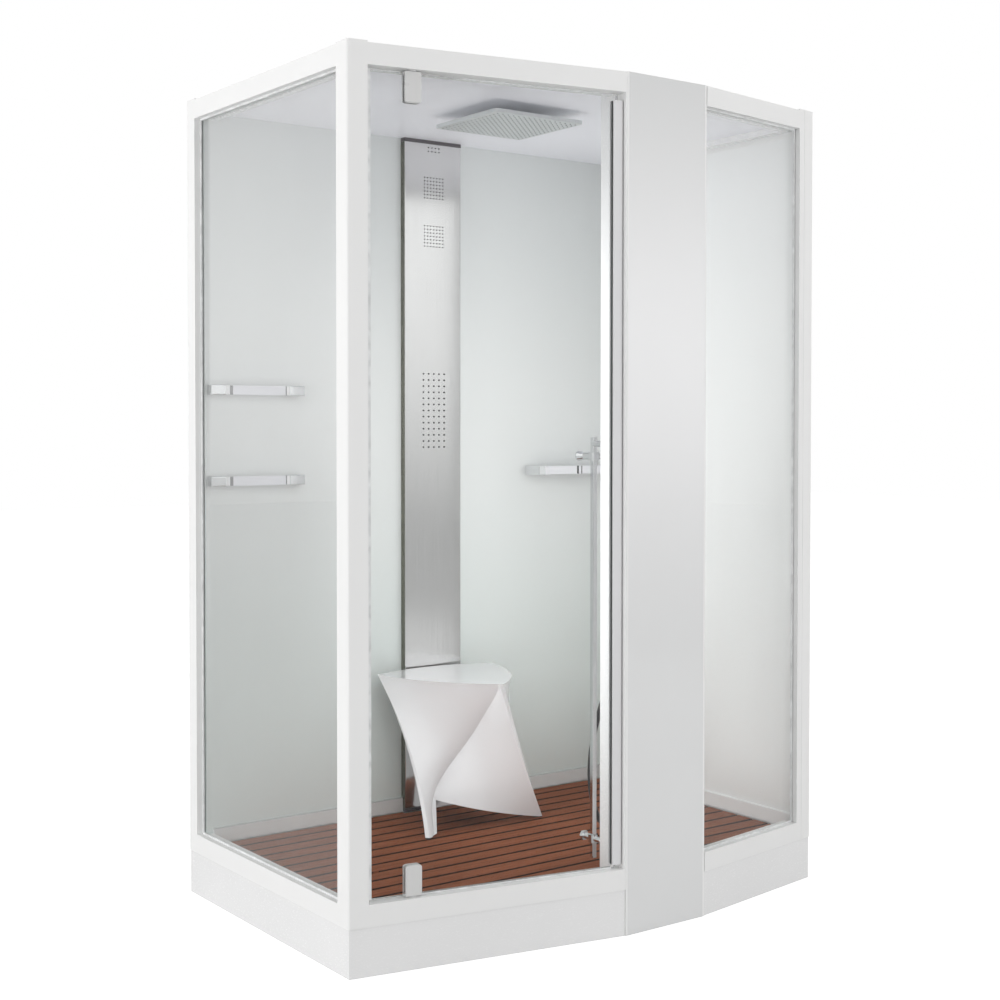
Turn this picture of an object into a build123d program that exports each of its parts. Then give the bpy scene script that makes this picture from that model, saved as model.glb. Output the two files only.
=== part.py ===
from build123d import *
import math
import os

# Shower cabin: a tray, a metal frame with glass, two closed walls, a steel shower column and its fittings.
# Millimetres, +Z up, +X right, +Y to the rear. The origin is the middle of the floor under the cabin.
os.makedirs("parts", exist_ok=True)

# Plan and heights
cabin_width = 1460.0
cabin_depth = 1000.0
cabin_height = 2150.0
left_step = 140.0
right_step = 80.0
door_reach = 714.0
column_width = 265.0
tray_height = 116.0
floor_height = 70.0
deck_height = 138.0

# Clearances
running_gap = 0.05
seat_gap = 0.3
trim_gap = 1.0
swing_gap = 2.0
overrun = 2.0

# Frame extrusions
rail_height = 50.0
rail_depth = 46.0
extrusion_wall = 2.5
post_width = 50.0
post_corner_radius = 6.0
post_cap = 3.0
right_post_front = 65.0
right_post_side = 24.0
stile_width = 22.0
joint_groove = 1.0
sill_skin = 2.0

# Glass and seals
glass_thickness = 8.0
glass_inset = 20.0
glass_grip = 8.0
groove_gap = 1.0
seal_width = 5.0
seal_lip = 6.0

# Door
pivot_distance = 166.0
pivot_block_width = 40.0
pivot_block_depth = 24.0
pivot_block_height = 72.0
pivot_block_chamfer = 4.0
pivot_play = 3.0
pivot_pin_radius = 5.0
pivot_pin_length = 18.0
bush_radius = 8.0
bush_flange_radius = 11.0
bush_flange = 1.5
bush_length = 14.0
pin_seat = 6.0
block_end = 8.0
door_end_inset = 6.1
door_seal = 1.6
strike_gap = 0.4
handle_width = 26.5
handle_depth = 26.0
handle_lip = 4.0
handle_grip = 5.0
handle_bottom_gap = 8.0
handle_top_gap = 17.0
glass_in_handle = 12.0

# Column between the door and the right front
panel_thickness = 6.0
panel_trim_width = 5.0
panel_trim_depth = 14.0
panel_drop = 3.0
housing_depth = 100.0
housing_rebate_depth = 48.0
housing_front_inset = 6.0
housing_rear_lap = 4.0
housing_wall = 3.0

# Tray, drain and feet
skirt_inset = 3.0
tray_wall = 8.0
tray_rim = 55.0
basin_radius = 40.0
drain_x = 0.0
drain_from_rear = 200.0
drain_radius = 45.0
drain_flange_radius = 57.0
drain_flange_thickness = 3.0
drain_cover_thickness = 3.0
trap_radius = 52.0
trap_clearance = 3.0
trap_edge = 2.0
outlet_radius = 19.0
outlet_bore = 15.5
outlet_socket = 17.0
outlet_socket_length = 45.0
outlet_height = 25.0
support_bar_height = 16.0
support_bar_width = 30.0
support_bar_wall = 1.5
foot_radius = 20.0
foot_pad_height = 8.0
foot_stem_radius = 6.0
foot_nut_radius = 11.0
foot_nut_height = 9.0

# Teak deck
board_pitch = 61.4
board_gap = 5.5
board_thickness = 22.0
board_edge = 1.2
first_gap_inset = 11.3
deck_edge_gap = 6.0
bearer_width = 40.0
bearer_inset = 12.0
deck_pad = 6.0
deck_pad_width = 30.0
deck_pad_length = 50.0
finger_from_left = 258.0
finger_row = 7
finger_width = 22.0
finger_length = 14.0

# Walls and ceiling
rear_wall_inset = 60.0
right_wall_inset = 36.0
wall_thickness = 10.0
ceiling_drop = 37.0
ceiling_thickness = 4.0
cornice_width = 25.0
skirting_height = 41.0
skirting_thickness = 8.0
skirting_bevel = 2.0
top_trim_height = 12.0
top_trim_thickness = 2.0

# Steel column on the rear wall
column_left = -87.0
column_right = 110.0
column_proud = 22.0
column_sheet = 1.5
column_fold_radius = 3.0
column_trim_height = 11.0
jet_height = 1.2
jets_x = 13.5
wide_jet_columns = 5
wide_jet_rows = 13
wide_jet_pitch = (18.2, 18.0)
wide_jet_drop = 794.0
wide_jet_radius = 2.6
small_jet_rows = 7
small_jet_pitch = (10.7, 10.0)
small_jet_drops = (139.5, 281.0)
small_jet_radius = 1.9
top_jet_columns = 4
top_jet_rows = 2
top_jet_pitch = (12.3, 11.0)
top_jet_drop = 27.0

# Rain head
rain_head_size = 285.0
rain_head_thickness = 10.0
rain_head_radius = 8.0
rain_head_bevel = 1.5
rain_head_from_mixer = 199.0
rain_head_y = -44.0
rain_head_drop = 26.0
rain_arm_radius = 11.0
rain_rose_radius = 30.0
rain_rose_height = 4.0

# Towel bars and shelf
bar_height = 27.0
bar_from_left = 35.0
bar_length = 281.0
bar_left_block = 42.0
bar_right_block = 47.0
bar_depth = 30.0
bar_thickness = 10.0
bar_bow = 5.0
block_radius = 3.0
upper_bar_z = 1370.0
lower_bar_z = 1123.0
shelf_from_wall = 4.0
shelf_length = 324.0
shelf_depth = 72.0
shelf_block = 26.0
shelf_z = 1137.0
shelf_plate = 6.0
shelf_rail = 8.0

# Hand shower
rail_from_door = 12.0
rail_stand = 40.0
rail_side = 13.0
rail_bottom = 164.0
rail_top = 1244.0
rail_edge = 1.0
bracket_radius = 8.0
bracket_rose_radius = 16.0
bracket_rose_height = 4.0
upper_bracket_z = 1228.0
lower_bracket_z = 214.0
clamp_radius = 13.0
clamp_height = 20.0
clamp_arm_radius = 8.0
clamp_arm_length = 26.0
slider_z = 1196.0
slider_radius = 11.0
slider_wall = 5.0
slider_arm = 34.0
knob_small_radius = 8.0
knob_large_radius = 13.0
knob_length = 27.0
knob_spindle_radius = 4.0
knob_spindle_length = 15.0
handset_offset = 51.0
handset_radius = 12.0
handset_foot_radius = 10.0
handset_bottom = 985.0
handset_top = 1226.0
holder_wall = 5.0
holder_height = 34.0
spray_radius = 10.0
spray_recess = 2.0
elbow_z = 766.0
elbow_radius = 10.0
elbow_reach = 28.0
elbow_drop = 31.0
elbow_rose_radius = 25.0
elbow_rose_height = 5.0
hose_radius = 7.0
hose_bend_share = 0.45

# Mixer
mixer_from_door = 166.0
mixer_bottom = 1020.0
mixer_top = 1280.0
mixer_width = 110.0
mixer_plate = 8.0
mixer_plate_radius = 10.0
mixer_knob_z = 1085.0
diverter_knob_z = 1215.0
control_radius = 26.0
control_length = 34.0
control_bore_length = 22.0
control_spindle_radius = 8.0
control_edge = 2.0
control_grip_width = 8.0
control_grip_height = 5.0
valve_radius = 30.0
valve_depth = 60.0

# Water pipes over the ceiling
pipe_radius = 7.5
pipe_bore = 6.0
inlet_radius = 13.0
inlet_bore = 9.3
inlet_length = 24.0
inlet_spacing = 60.0
inlet_offset = 50.0
pipe_bend = 30.0
pipe_over_ceiling = 14.0

# Stool
stool_x = -17.0
stool_from_wall = 187.0
stool_height = 425.0
stool_wall = 8.0
left_seat_reach = 226.0
right_seat_reach = 234.0
rear_seat_reach = 223.0
left_foot_reach = 216.0
right_foot_reach = 250.0
rear_foot_reach = 158.0
left_fin_bow = 26.0
right_fin_bow = 4.0
rear_fin_bow = 12.0
crease_depth = 30.0
fin_thickness = 12.0
stool_pad = 3.0
stool_pad_length = 26.0
arch_height = 84.0
seat_angle = 148.0
stool_twist_angle = 66.0
third_angle = 120.0
stool_levels = 6
crease_shares = (0.05, 0.1, 0.24, 0.46, 0.66, 0.835, 0.975)
flank_bow_share = 0.1
inset_room_share = 2.5
arch_start_share = 0.08

parts = {}


def slab(x, y):
    """A rectangle between two places along x and two along y."""
    return Pos((x[0] + x[1]) / 2, (y[0] + y[1]) / 2) * Rectangle(x[1] - x[0], y[1] - y[0])


def raise_up(face, low, high):
    """A flat shape in plan, raised between two heights."""
    return extrude(Pos(0, 0, low) * face, amount=high - low, dir=(0, 0, 1))


def box_between(x, y, z):
    return raise_up(slab(x, y), z[0], z[1])


def side(start, end):
    """A frame on one side of the plan: x runs along the side, y points into the cabin and z is up."""
    return Plane(origin=(start.X, start.Y, 0), x_dir=(end - start), z_dir=(0, 0, 1))


def at_side(frame, x, y, z):
    """A block placed in a side's own frame."""
    return frame.location * box_between(x, y, z)


def disc_along(plane, radius, length):
    return extrude(plane * Circle(radius), amount=length)


def into_cabin(x, y, z):
    """A plane on the housing's inner face, whose normal points into the cabin."""
    return Plane(origin=(x, y, z), x_dir=(1, 0, 0), z_dir=(0, 1, 0))


def upright(x, y, z):
    return Plane(origin=(x, y, z), x_dir=(1, 0, 0), z_dir=(0, 0, 1))


def polygon(*points):
    return make_face(Polyline(*points, close=True))


def ring(outer, inner):
    return Circle(outer) - Circle(inner)


# Corners of the plan, seen from above, starting at the front left
half_width = cabin_width / 2
half_depth = cabin_depth / 2
left_depth = cabin_depth - left_step
right_depth = cabin_depth - right_step
front_left = Vector(-half_width, half_depth - left_depth)
column_start = Vector(-half_width + door_reach, -half_depth)
column_end = Vector(-half_width + door_reach + column_width, -half_depth)
front_right = Vector(half_width, half_depth - right_depth)
rear_right = Vector(half_width, half_depth)
rear_left = Vector(-half_width, half_depth)
plan = polygon(front_left, column_start, column_end, front_right, rear_right, rear_left)

door_side = side(front_left, column_start)
right_front_side = side(column_end, front_right)
right_side = side(front_right, rear_right)
rear_side = side(rear_right, rear_left)
left_side = side(rear_left, front_left)

# Heights and inner faces that follow from the sizes above
door_end = (column_start - front_left).length - door_end_inset
strike_start = door_end + door_seal + strike_gap
ceiling_height = cabin_height - ceiling_drop
housing_inner_y = -half_depth + housing_depth
housing_rebate_y = -half_depth + housing_rebate_depth
housing_front_left = column_start.X + housing_front_inset
housing_rear_left = column_start.X - housing_rear_lap
housing_right = column_end.X - housing_front_inset
drain_y = half_depth - drain_from_rear
rail_x = column_start.X + rail_from_door
mixer_x = column_start.X + mixer_from_door
inlet_left_x = mixer_x - inlet_offset
rain_head_x = mixer_x - rain_head_from_mixer
first_gap_y = -half_depth + first_gap_inset
finger_x = -half_width + finger_from_left
finger_y = first_gap_y + finger_row * board_pitch
bottom_rail_top = tray_height + rail_height
top_rail_top = cabin_height - post_cap - trim_gap
top_rail_bottom = top_rail_top - rail_height
door_opening_bottom = bottom_rail_top + sill_skin
rear_wall_y = half_depth - rear_wall_inset
right_wall_x = half_width - right_wall_inset
left_wall_x = -half_width + rail_depth
bar_left = -half_width + bar_from_left
bar_right = bar_left + bar_length
shelf_right = right_wall_x - shelf_from_wall
shelf_left = shelf_right - shelf_length
stool_y = rear_wall_y - stool_from_wall
seat_reaches = (left_seat_reach, right_seat_reach, rear_seat_reach)
foot_reaches = (left_foot_reach, right_foot_reach, rear_foot_reach)
fin_bows = (left_fin_bow, right_fin_bow, rear_fin_bow)
panel_back_y = -half_depth + panel_thickness
panel_left = column_start.X + panel_trim_width
panel_right = column_end.X - panel_trim_width
right_front_length = (front_right - column_end).length
column_joint = (panel_trim_depth + swing_gap) * (front_right.Y - column_end.Y) / right_front_length
post_clearance = post_width + trim_gap
post_zone = polygon(
    front_left,
    front_left + door_side.x_dir * post_clearance,
    front_left + (door_side.x_dir - left_side.x_dir) * post_clearance,
    front_left - left_side.x_dir * post_clearance,
)
housing_zone = slab((housing_rear_left, housing_right), (housing_rebate_y, housing_inner_y))
housing_front = slab((housing_front_left, housing_right), (panel_back_y, housing_rebate_y))
inner_plan = offset(plan, -rail_depth, kind=Kind.INTERSECTION) & slab(
    (-half_width, right_wall_x), (-half_depth, rear_wall_y)
)
clear_plan = inner_plan - post_zone - slab(
    (housing_rear_left, housing_right), (-half_depth, housing_inner_y)
)


def glazed_section(depth, groove_side):
    """A rail's section: two closed chambers with the glazing groove between them, opening up,
    down or nowhere."""
    section = slab((0, depth), (0, rail_height))
    groove_low = glass_inset - groove_gap
    groove_high = glass_inset + glass_thickness + groove_gap
    inner = (extrusion_wall, rail_height - extrusion_wall)
    section -= slab((extrusion_wall, groove_low - extrusion_wall), inner)
    if depth > groove_high + 3 * extrusion_wall:
        section -= slab((groove_high + extrusion_wall, depth - extrusion_wall), inner)
    groove_depth = glass_grip + groove_gap
    if groove_side == "up":
        section -= slab((groove_low, groove_high), (rail_height - groove_depth, rail_height))
    if groove_side == "down":
        section -= slab((groove_low, groove_high), (0, groove_depth))
    return section


def rail(frame, start, end, low, depth, groove_side):
    """One straight extrusion of the frame, with its section square to the side it lies on."""
    origin = frame.from_local_coords((start, 0, low))
    across = Plane(origin=origin, x_dir=frame.y_dir, z_dir=frame.x_dir)
    return extrude(across * glazed_section(depth, groove_side), amount=end - start)


def corner_post(corner, first, first_size, second, second_size):
    """A hollow corner post whose two outer faces follow the two sides that meet there."""
    points = (
        corner,
        corner + first * first_size,
        corner + first * first_size + second * second_size,
        corner + second * second_size,
    )
    section = polygon(*points)
    outer_edge = section.vertices().sort_by_distance(corner)[0]
    section = fillet(outer_edge, post_corner_radius)
    chamber = offset(section, -extrusion_wall, kind=Kind.INTERSECTION)
    cap_bottom = cabin_height - post_cap
    return raise_up(section - chamber, tray_height, cap_bottom) + raise_up(
        section, cap_bottom, cabin_height
    )


def front_left_post():
    """The left front post, slotted for the fixed pane. Its front face follows the turned door side."""
    post = corner_post(front_left, door_side.x_dir, post_width, -left_side.x_dir, post_width)
    slot_end = left_depth - post_width + glass_grip + groove_gap
    slot = at_side(
        left_side,
        (left_depth - 2 * post_width, slot_end),
        (glass_inset - groove_gap, glass_inset + glass_thickness + groove_gap),
        (tray_height, top_rail_top),
    )
    return post - slot


def front_right_post():
    """The right front post with its glazing stile. A fine joint line parts the two."""
    post = corner_post(
        front_right, -right_front_side.x_dir, right_post_front, right_side.x_dir, right_post_side
    )
    glass_y = (glass_inset - groove_gap, glass_inset + glass_thickness + groove_gap)
    slot_end = right_front_length - right_post_front + glass_grip + groove_gap
    slot = at_side(
        right_front_side, (right_front_length - 2 * right_post_front, slot_end), glass_y, (
            tray_height, top_rail_top
        )
    )
    joint_x = right_front_length - right_post_front + stile_width
    joint = at_side(
        right_front_side,
        (joint_x, joint_x + joint_groove),
        (-joint_groove, joint_groove),
        (tray_height, cabin_height),
    )
    return post - slot - joint


def rear_posts():
    left = corner_post(rear_left, Vector(1, 0), post_width, Vector(0, -1), post_width)
    slot = at_side(
        left_side,
        (post_width - glass_grip - groove_gap, 2 * post_width),
        (glass_inset - groove_gap, glass_inset + glass_thickness + groove_gap),
        (tray_height, top_rail_top),
    )
    right = corner_post(rear_right, Vector(0, -1), post_width, Vector(-1, 0), post_width)
    return Compound(children=[left - slot, right])


def frame_rails():
    """All the straight rails, cut to length between the posts and the column."""
    left_run = (post_width, left_depth - post_width)
    door_run = (post_width, strike_start)
    front_run = (column_joint, right_front_length - right_post_front)
    right_rail_depth = right_wall_inset - wall_thickness
    rear_rail_depth = rear_wall_inset - wall_thickness
    parts["left_top_rail"] = rail(left_side, *left_run, top_rail_bottom, rail_depth, "down")
    parts["left_bottom_rail"] = rail(left_side, *left_run, tray_height, rail_depth, "up")
    header = rail(door_side, *door_run, top_rail_bottom, rail_depth, "none")
    sill = rail(door_side, *door_run, tray_height, rail_depth, "none")
    sill += at_side(door_side, door_run, (0, rail_depth), (bottom_rail_top, door_opening_bottom))
    for hole in bush_holes():
        header -= hole
        sill -= hole
    parts["door_header"] = header
    parts["door_sill"] = sill
    parts["right_front_header"] = rail(right_front_side, *front_run, top_rail_bottom, rail_depth, "down")
    parts["right_front_bottom_rail"] = rail(right_front_side, *front_run, tray_height, rail_depth, "up")
    right_run = (right_post_side, right_depth - post_width)
    rear_run = (post_width, cabin_width - post_width)
    rear_top = rail(rear_side, *rear_run, top_rail_bottom, rear_rail_depth, "none")
    for x in (inlet_left_x, inlet_left_x + inlet_spacing):
        hole = Plane(origin=(x, half_depth + overrun, pipe_z()), x_dir=(1, 0, 0), z_dir=(0, -1, 0))
        rear_top -= disc_along(hole, inlet_radius + running_gap, rear_wall_inset + overrun)
    right_top = rail(right_side, *right_run, top_rail_bottom, right_rail_depth, "none")
    parts["wall_top_rails"] = Compound(children=[rear_top, right_top])
    rear_bottom = rail(rear_side, *rear_run, tray_height, rear_rail_depth, "none")
    right_bottom = rail(right_side, *right_run, tray_height, right_rail_depth, "none")
    parts["wall_bottom_rails"] = Compound(children=[rear_bottom, right_bottom])


def pivot_point(z):
    """The door's turning axis, in the middle of the glass."""
    return door_side.from_local_coords((pivot_distance, glass_inset + glass_thickness / 2, z))


def bush_holes():
    holes = []
    for low, high in (
        (top_rail_bottom - overrun, top_rail_bottom + bush_length),
        (door_opening_bottom - bush_length, door_opening_bottom + overrun),
    ):
        centre = pivot_point(low)
        holes.append(disc_along(upright(centre.X, centre.Y, low), bush_radius + running_gap, high - low))
    return holes


def hinge_bushes():
    """Flanged bushes let into the header and the sill. The door's pins turn in them."""
    section = (
        slab((pivot_pin_radius + running_gap, bush_radius), (0, bush_length))
        + slab((pivot_pin_radius + running_gap, bush_flange_radius), (-bush_flange, 0))
    )
    bush = revolve(Plane.XZ * section, Axis.Z)
    top = pivot_point(top_rail_bottom)
    bottom = pivot_point(door_opening_bottom)
    upper = Pos(top.X, top.Y, top.Z) * bush
    lower = Pos(bottom.X, bottom.Y, bottom.Z) * Rot(180, 0, 0) * bush
    return Compound(children=[upper, lower])


def door_heights():
    """The door's lowest and highest places, which its pivot blocks reach."""
    return door_opening_bottom + pivot_play, top_rail_bottom - pivot_play


def door_glass():
    low, high = door_heights()
    end = door_end - handle_width + glass_in_handle
    start = post_width + swing_gap + seal_lip
    glass_y = (glass_inset, glass_inset + glass_thickness)
    glass = at_side(door_side, (start, end), glass_y, (low + swing_gap, high - swing_gap))
    half = pivot_block_width / 2 + trim_gap
    notch = block_end + trim_gap
    for z in ((low, low + notch), (high - notch, high)):
        glass -= at_side(door_side, (pivot_distance - half, pivot_distance + half), glass_y, z)
    return glass


def pivot_block():
    """A clamp block with bevelled corners, drawn for the bottom pivot with its foot at zero."""
    half = pivot_block_width / 2
    depth = pivot_block_depth / 2
    block = box_between((-half, half), (-depth, depth), (0, pivot_block_height))
    top_edges = block.edges().filter_by(Axis.Y).group_by(Axis.Z)[-1]
    block = chamfer(top_edges, pivot_block_chamfer)
    block = chamfer(block.faces().sort_by(Axis.Z)[-1].edges(), pivot_block_chamfer / 2)
    glass = glass_thickness / 2
    block -= box_between(
        (-half - overrun, half + overrun), (-glass, glass), (block_end, pivot_block_height + overrun)
    )
    bore = pivot_pin_radius + running_gap
    block -= disc_along(upright(0, 0, -overrun), bore, overrun + pin_seat)
    return block


def pivot_blocks():
    low, high = door_heights()
    place = door_side.location * Pos(pivot_distance, glass_inset + glass_thickness / 2, 0)
    bottom = place * Pos(0, 0, low) * pivot_block()
    top = place * Pos(0, 0, high) * Rot(180, 0, 0) * pivot_block()
    return Compound(children=[bottom, top])


def hinge_pins():
    """Pins seated in the pivot blocks. The lower one has the collar that carries the door."""
    low, high = door_heights()
    pins = []
    for end, turn in ((low, 180), (high, 0)):
        centre = pivot_point(end)
        pin = disc_along(upright(0, 0, -pin_seat), pivot_pin_radius, pivot_pin_length)
        if turn:
            pin += disc_along(upright(0, 0, 0), bush_radius, pivot_play - bush_flange - seat_gap)
        pins.append(Pos(centre.X, centre.Y, end) * Rot(turn, 0, 0) * pin)
    return Compound(children=pins)


def handle_section():
    """The handle's section: a slot that takes the glass, and a finger lip outside and inside."""
    start = door_end - handle_width
    end = door_end
    middle = glass_inset + glass_thickness / 2
    front = middle - handle_depth / 2
    back = middle + handle_depth / 2
    section = slab((start, end), (front, back))
    section -= slab(
        (start, start + glass_in_handle + seat_gap),
        (glass_inset - seat_gap, glass_inset + glass_thickness + seat_gap),
    )
    pocket = handle_depth / 2 - glass_thickness / 2 - handle_lip
    for low in (front + handle_lip, back - handle_lip - pocket):
        section -= slab((start, start + handle_grip), (low, low + pocket))
    corners = section.vertices().group_by(Axis.X)[-1]
    return fillet(corners, handle_lip)


def door_handle_profile():
    low, high = door_heights()
    bar = raise_up(handle_section(), low + handle_bottom_gap, high - handle_top_gap)
    return door_side.location * bar


def door_seals():
    """A clear fin on the post side, a sweep under the glass and the magnet strip beside the jamb."""
    low, high = door_heights()
    start = post_width + swing_gap / 2
    glass_start = post_width + swing_gap + seal_lip
    glass_low = low + swing_gap
    clip = (glass_inset - trim_gap - seat_gap, glass_inset + glass_thickness + trim_gap + seat_gap)
    fin = at_side(door_side, (start, glass_start + seal_width), clip, (glass_low, high - swing_gap))
    fin -= at_side(
        door_side,
        (glass_start, glass_start + seal_width + overrun),
        (glass_inset - seat_gap, glass_inset + glass_thickness + seat_gap),
        (glass_low - overrun, high),
    )
    sweep_start = pivot_distance + pivot_block_width / 2 + trim_gap
    sweep_end = door_end - handle_width
    sweep = at_side(
        door_side,
        (sweep_start, sweep_end),
        (glass_inset, glass_inset + glass_thickness),
        (door_opening_bottom + seat_gap, glass_low),
    )
    magnet = at_side(
        door_side,
        (door_end, door_end + door_seal),
        (glass_inset, glass_inset + glass_thickness),
        (low + handle_bottom_gap, high - handle_top_gap),
    )
    return Compound(children=[fin, sweep, magnet])


def strike_profile():
    """The jamb that the door closes on. Its plan tapers because the door side is turned."""
    first = door_side.from_local_coords((strike_start, 0, 0))
    second = door_side.from_local_coords((strike_start, rail_depth, 0))
    third = Vector(housing_front_left, second.Y)
    fourth = Vector(housing_front_left, first.Y)
    section = polygon((first.X, first.Y), (second.X, second.Y), (third.X, third.Y), (fourth.X, fourth.Y))
    section -= slab(
        (column_start.X, panel_left + trim_gap), (-half_depth, -half_depth + panel_trim_depth + trim_gap)
    )
    return raise_up(section, tray_height, top_rail_top)


def left_glass():
    run = (post_width - glass_grip, left_depth - post_width + glass_grip)
    heights = (bottom_rail_top - glass_grip, top_rail_bottom + glass_grip)
    return at_side(left_side, run, (glass_inset, glass_inset + glass_thickness), heights)


def right_front_glass():
    start = column_joint + seal_width
    run = (start, right_front_length - right_post_front + glass_grip)
    heights = (bottom_rail_top - glass_grip, top_rail_bottom + glass_grip)
    return at_side(right_front_side, run, (glass_inset, glass_inset + glass_thickness), heights)


def pane_seals():
    """Slim gaskets around the fixed panes, on the room side, and the channel beside the column."""
    pieces = []
    outside = (glass_inset - groove_gap - seal_lip / 2, glass_inset)
    for frame, start, end in (
        (left_side, post_width, left_depth - post_width),
        (right_front_side, column_joint + seal_width, right_front_length - right_post_front),
    ):
        low = bottom_rail_top
        high = top_rail_bottom
        width = seal_width
        pieces.append(at_side(frame, (start, start + width), outside, (low, high)))
        pieces.append(at_side(frame, (end - width, end), outside, (low, high)))
        pieces.append(at_side(frame, (start + width, end - width), outside, (low, low + width)))
        pieces.append(at_side(frame, (start + width, end - width), outside, (high - width, high)))
    channel = at_side(
        right_front_side,
        (column_joint, column_joint + seal_width),
        (glass_inset - groove_gap - seal_lip / 2, glass_inset + glass_thickness),
        (bottom_rail_top, top_rail_bottom),
    )
    pieces.append(channel)
    return Compound(children=pieces)


def column_housing():
    """The hollow casing behind the front panel. Its left side is stepped, and the door closes
    on the step."""
    section = housing_zone + housing_front
    chamber = offset(section, -housing_wall, kind=Kind.INTERSECTION)
    shell = raise_up(section, tray_height, top_rail_top)
    shell -= raise_up(chamber, tray_height + housing_wall, top_rail_top - housing_wall)
    hole = into_cabin(
        mixer_x, housing_inner_y - housing_wall - overrun, (mixer_knob_z + diverter_knob_z) / 2
    )
    shell -= disc_along(hole, valve_radius + seat_gap, housing_wall + 2 * overrun)
    for centre in pipe_ends():
        entry = into_cabin(centre.X, housing_inner_y - housing_wall - overrun, pipe_z())
        shell -= disc_along(entry, pipe_radius + seat_gap, housing_wall + 2 * overrun)
    return shell


def column_front_panel():
    return box_between(
        (panel_left, panel_right), (-half_depth, panel_back_y), (0, cabin_height - panel_drop)
    )


def column_edge_trims():
    """Two channels that hold the front panel's upright edges."""
    trims = []
    for low, high in ((column_start.X, panel_left), (panel_right, column_end.X)):
        trims.append(
            box_between(
                (low, high), (-half_depth, -half_depth + panel_trim_depth), (0, cabin_height - panel_drop)
            )
        )
    return Compound(children=trims)


def tray_plan(inset):
    """The tray's outline, drawn in from its skirt, with the step that lets the front panel pass."""
    outline = offset(plan, -skirt_inset, kind=Kind.INTERSECTION)
    step = panel_trim_depth + trim_gap
    outline -= slab(
        (column_start.X - trim_gap, column_end.X + trim_gap), (-half_depth - overrun, -half_depth + step)
    )
    return offset(outline, -inset, kind=Kind.INTERSECTION) if inset else outline


def basin_plan(inset):
    outline = offset(plan, -skirt_inset - inset, kind=Kind.INTERSECTION)
    return fillet(outline.vertices(), basin_radius)


def shower_tray():
    """A moulded tray: outer skirt, rim and basin, hollow underneath, with the waste hole in
    its floor."""
    tray = raise_up(tray_plan(0), 0, tray_height)
    tray -= raise_up(tray_plan(tray_wall), -overrun, tray_height - tray_wall)
    tray += raise_up(basin_plan(tray_rim - tray_wall), floor_height - tray_wall, tray_height)
    tray -= raise_up(basin_plan(tray_rim), floor_height, tray_height + overrun)
    hole = disc_along(upright(drain_x, drain_y, 0), drain_radius, tray_height)
    outlet = Plane(origin=(drain_x, half_depth + overrun, outlet_height), x_dir=(1, 0, 0), z_dir=(0, -1, 0))
    tray -= hole
    tray -= disc_along(outlet, outlet_radius + seat_gap, tray_wall + skirt_inset + 2 * overrun)
    return tray


def support_frame():
    """Square tubes under the tray floor, each one a straight length."""
    top = floor_height - tray_wall
    low = top - support_bar_height
    inset = tray_wall + skirt_inset + trim_gap
    reach = half_width - inset
    bars = []
    front_y = front_left.Y + tray_rim
    rear_y = half_depth - tray_rim - support_bar_width
    middle_y = (front_y + drain_y - drain_flange_radius) / 2
    for y in (front_y, middle_y, rear_y):
        bars.append(box_between((-reach, reach), (y, y + support_bar_width), (low, top)))
    for x in (-half_width / 2, half_width / 2):
        for start, end in ((front_y, middle_y), (middle_y, rear_y)):
            width = (x - support_bar_width / 2, x + support_bar_width / 2)
            bars.append(box_between(width, (start + support_bar_width, end), (low, top)))
    tubes = []
    for bar in bars:
        size = bar.bounding_box().size
        centre = bar.center()
        wall = 2 * support_bar_wall
        if size.X > size.Y:
            core = Box(size.X + overrun, size.Y - wall, size.Z - wall)
        else:
            core = Box(size.X - wall, size.Y + overrun, size.Z - wall)
        tubes.append(bar - Pos(centre.X, centre.Y, centre.Z) * core)
    return Compound(children=tubes)


def levelling_feet():
    """Screw feet under the support frame, each with its pad, stem and lock nut."""
    top = floor_height - tray_wall - support_bar_height
    section = polygon(
        (0, 0),
        (foot_radius, 0),
        (foot_radius, foot_pad_height / 2),
        (foot_stem_radius, foot_pad_height),
        (foot_stem_radius, top),
        (0, top),
    )
    nut = raise_up(RegularPolygon(foot_nut_radius, 6), top - foot_nut_height, top)
    foot = revolve(Plane.XZ * section, Axis.Z) + nut
    front_y = front_left.Y + tray_rim + support_bar_width / 2
    rear_y = half_depth - tray_rim - support_bar_width / 2
    reach = half_width - tray_rim
    return Compound(
        children=[Pos(x, y) * foot for y in (front_y, rear_y) for x in (-reach, -2 * tray_rim, reach)]
    )


def drain_trap():
    """A low trap under the waste, with its outlet pipe run to the rear of the tray."""
    top = floor_height - tray_wall
    cup = disc_along(upright(drain_x, drain_y, trap_clearance), trap_radius, top - trap_clearance)
    cup = chamfer(cup.edges().group_by(Axis.Z)[0], trap_edge)
    pipe = Plane(origin=(drain_x, drain_y, outlet_height), x_dir=(1, 0, 0), z_dir=(0, 1, 0))
    end = half_depth - skirt_inset - drain_y
    body = cup + disc_along(pipe, outlet_radius, end)
    wall = outlet_radius - outlet_bore
    body -= disc_along(upright(drain_x, drain_y, trap_clearance + wall), trap_radius - 2 * wall, top)
    body -= disc_along(pipe, outlet_bore, end + overrun)
    mouth = Plane(
        origin=(drain_x, half_depth - skirt_inset, outlet_height), x_dir=(1, 0, 0), z_dir=(0, -1, 0)
    )
    return body - disc_along(mouth, outlet_socket, outlet_socket_length)


def drain_flange():
    """The ring that clamps the tray floor, with the seat of the cover."""
    low = floor_height
    thread_low = floor_height - tray_wall
    section = slab((drain_radius - 3 * overrun, drain_flange_radius), (low, low + drain_flange_thickness))
    section += slab((drain_radius - 3 * overrun, drain_radius - seat_gap), (thread_low, low))
    return Pos(drain_x, drain_y) * revolve(Plane.XZ * section, Axis.Z)


def drain_cover():
    low = floor_height + drain_flange_thickness
    cover = disc_along(upright(drain_x, drain_y, low), drain_flange_radius - overrun, drain_cover_thickness)
    return chamfer(cover.edges().group_by(Axis.Z)[-1], trim_gap)


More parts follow.
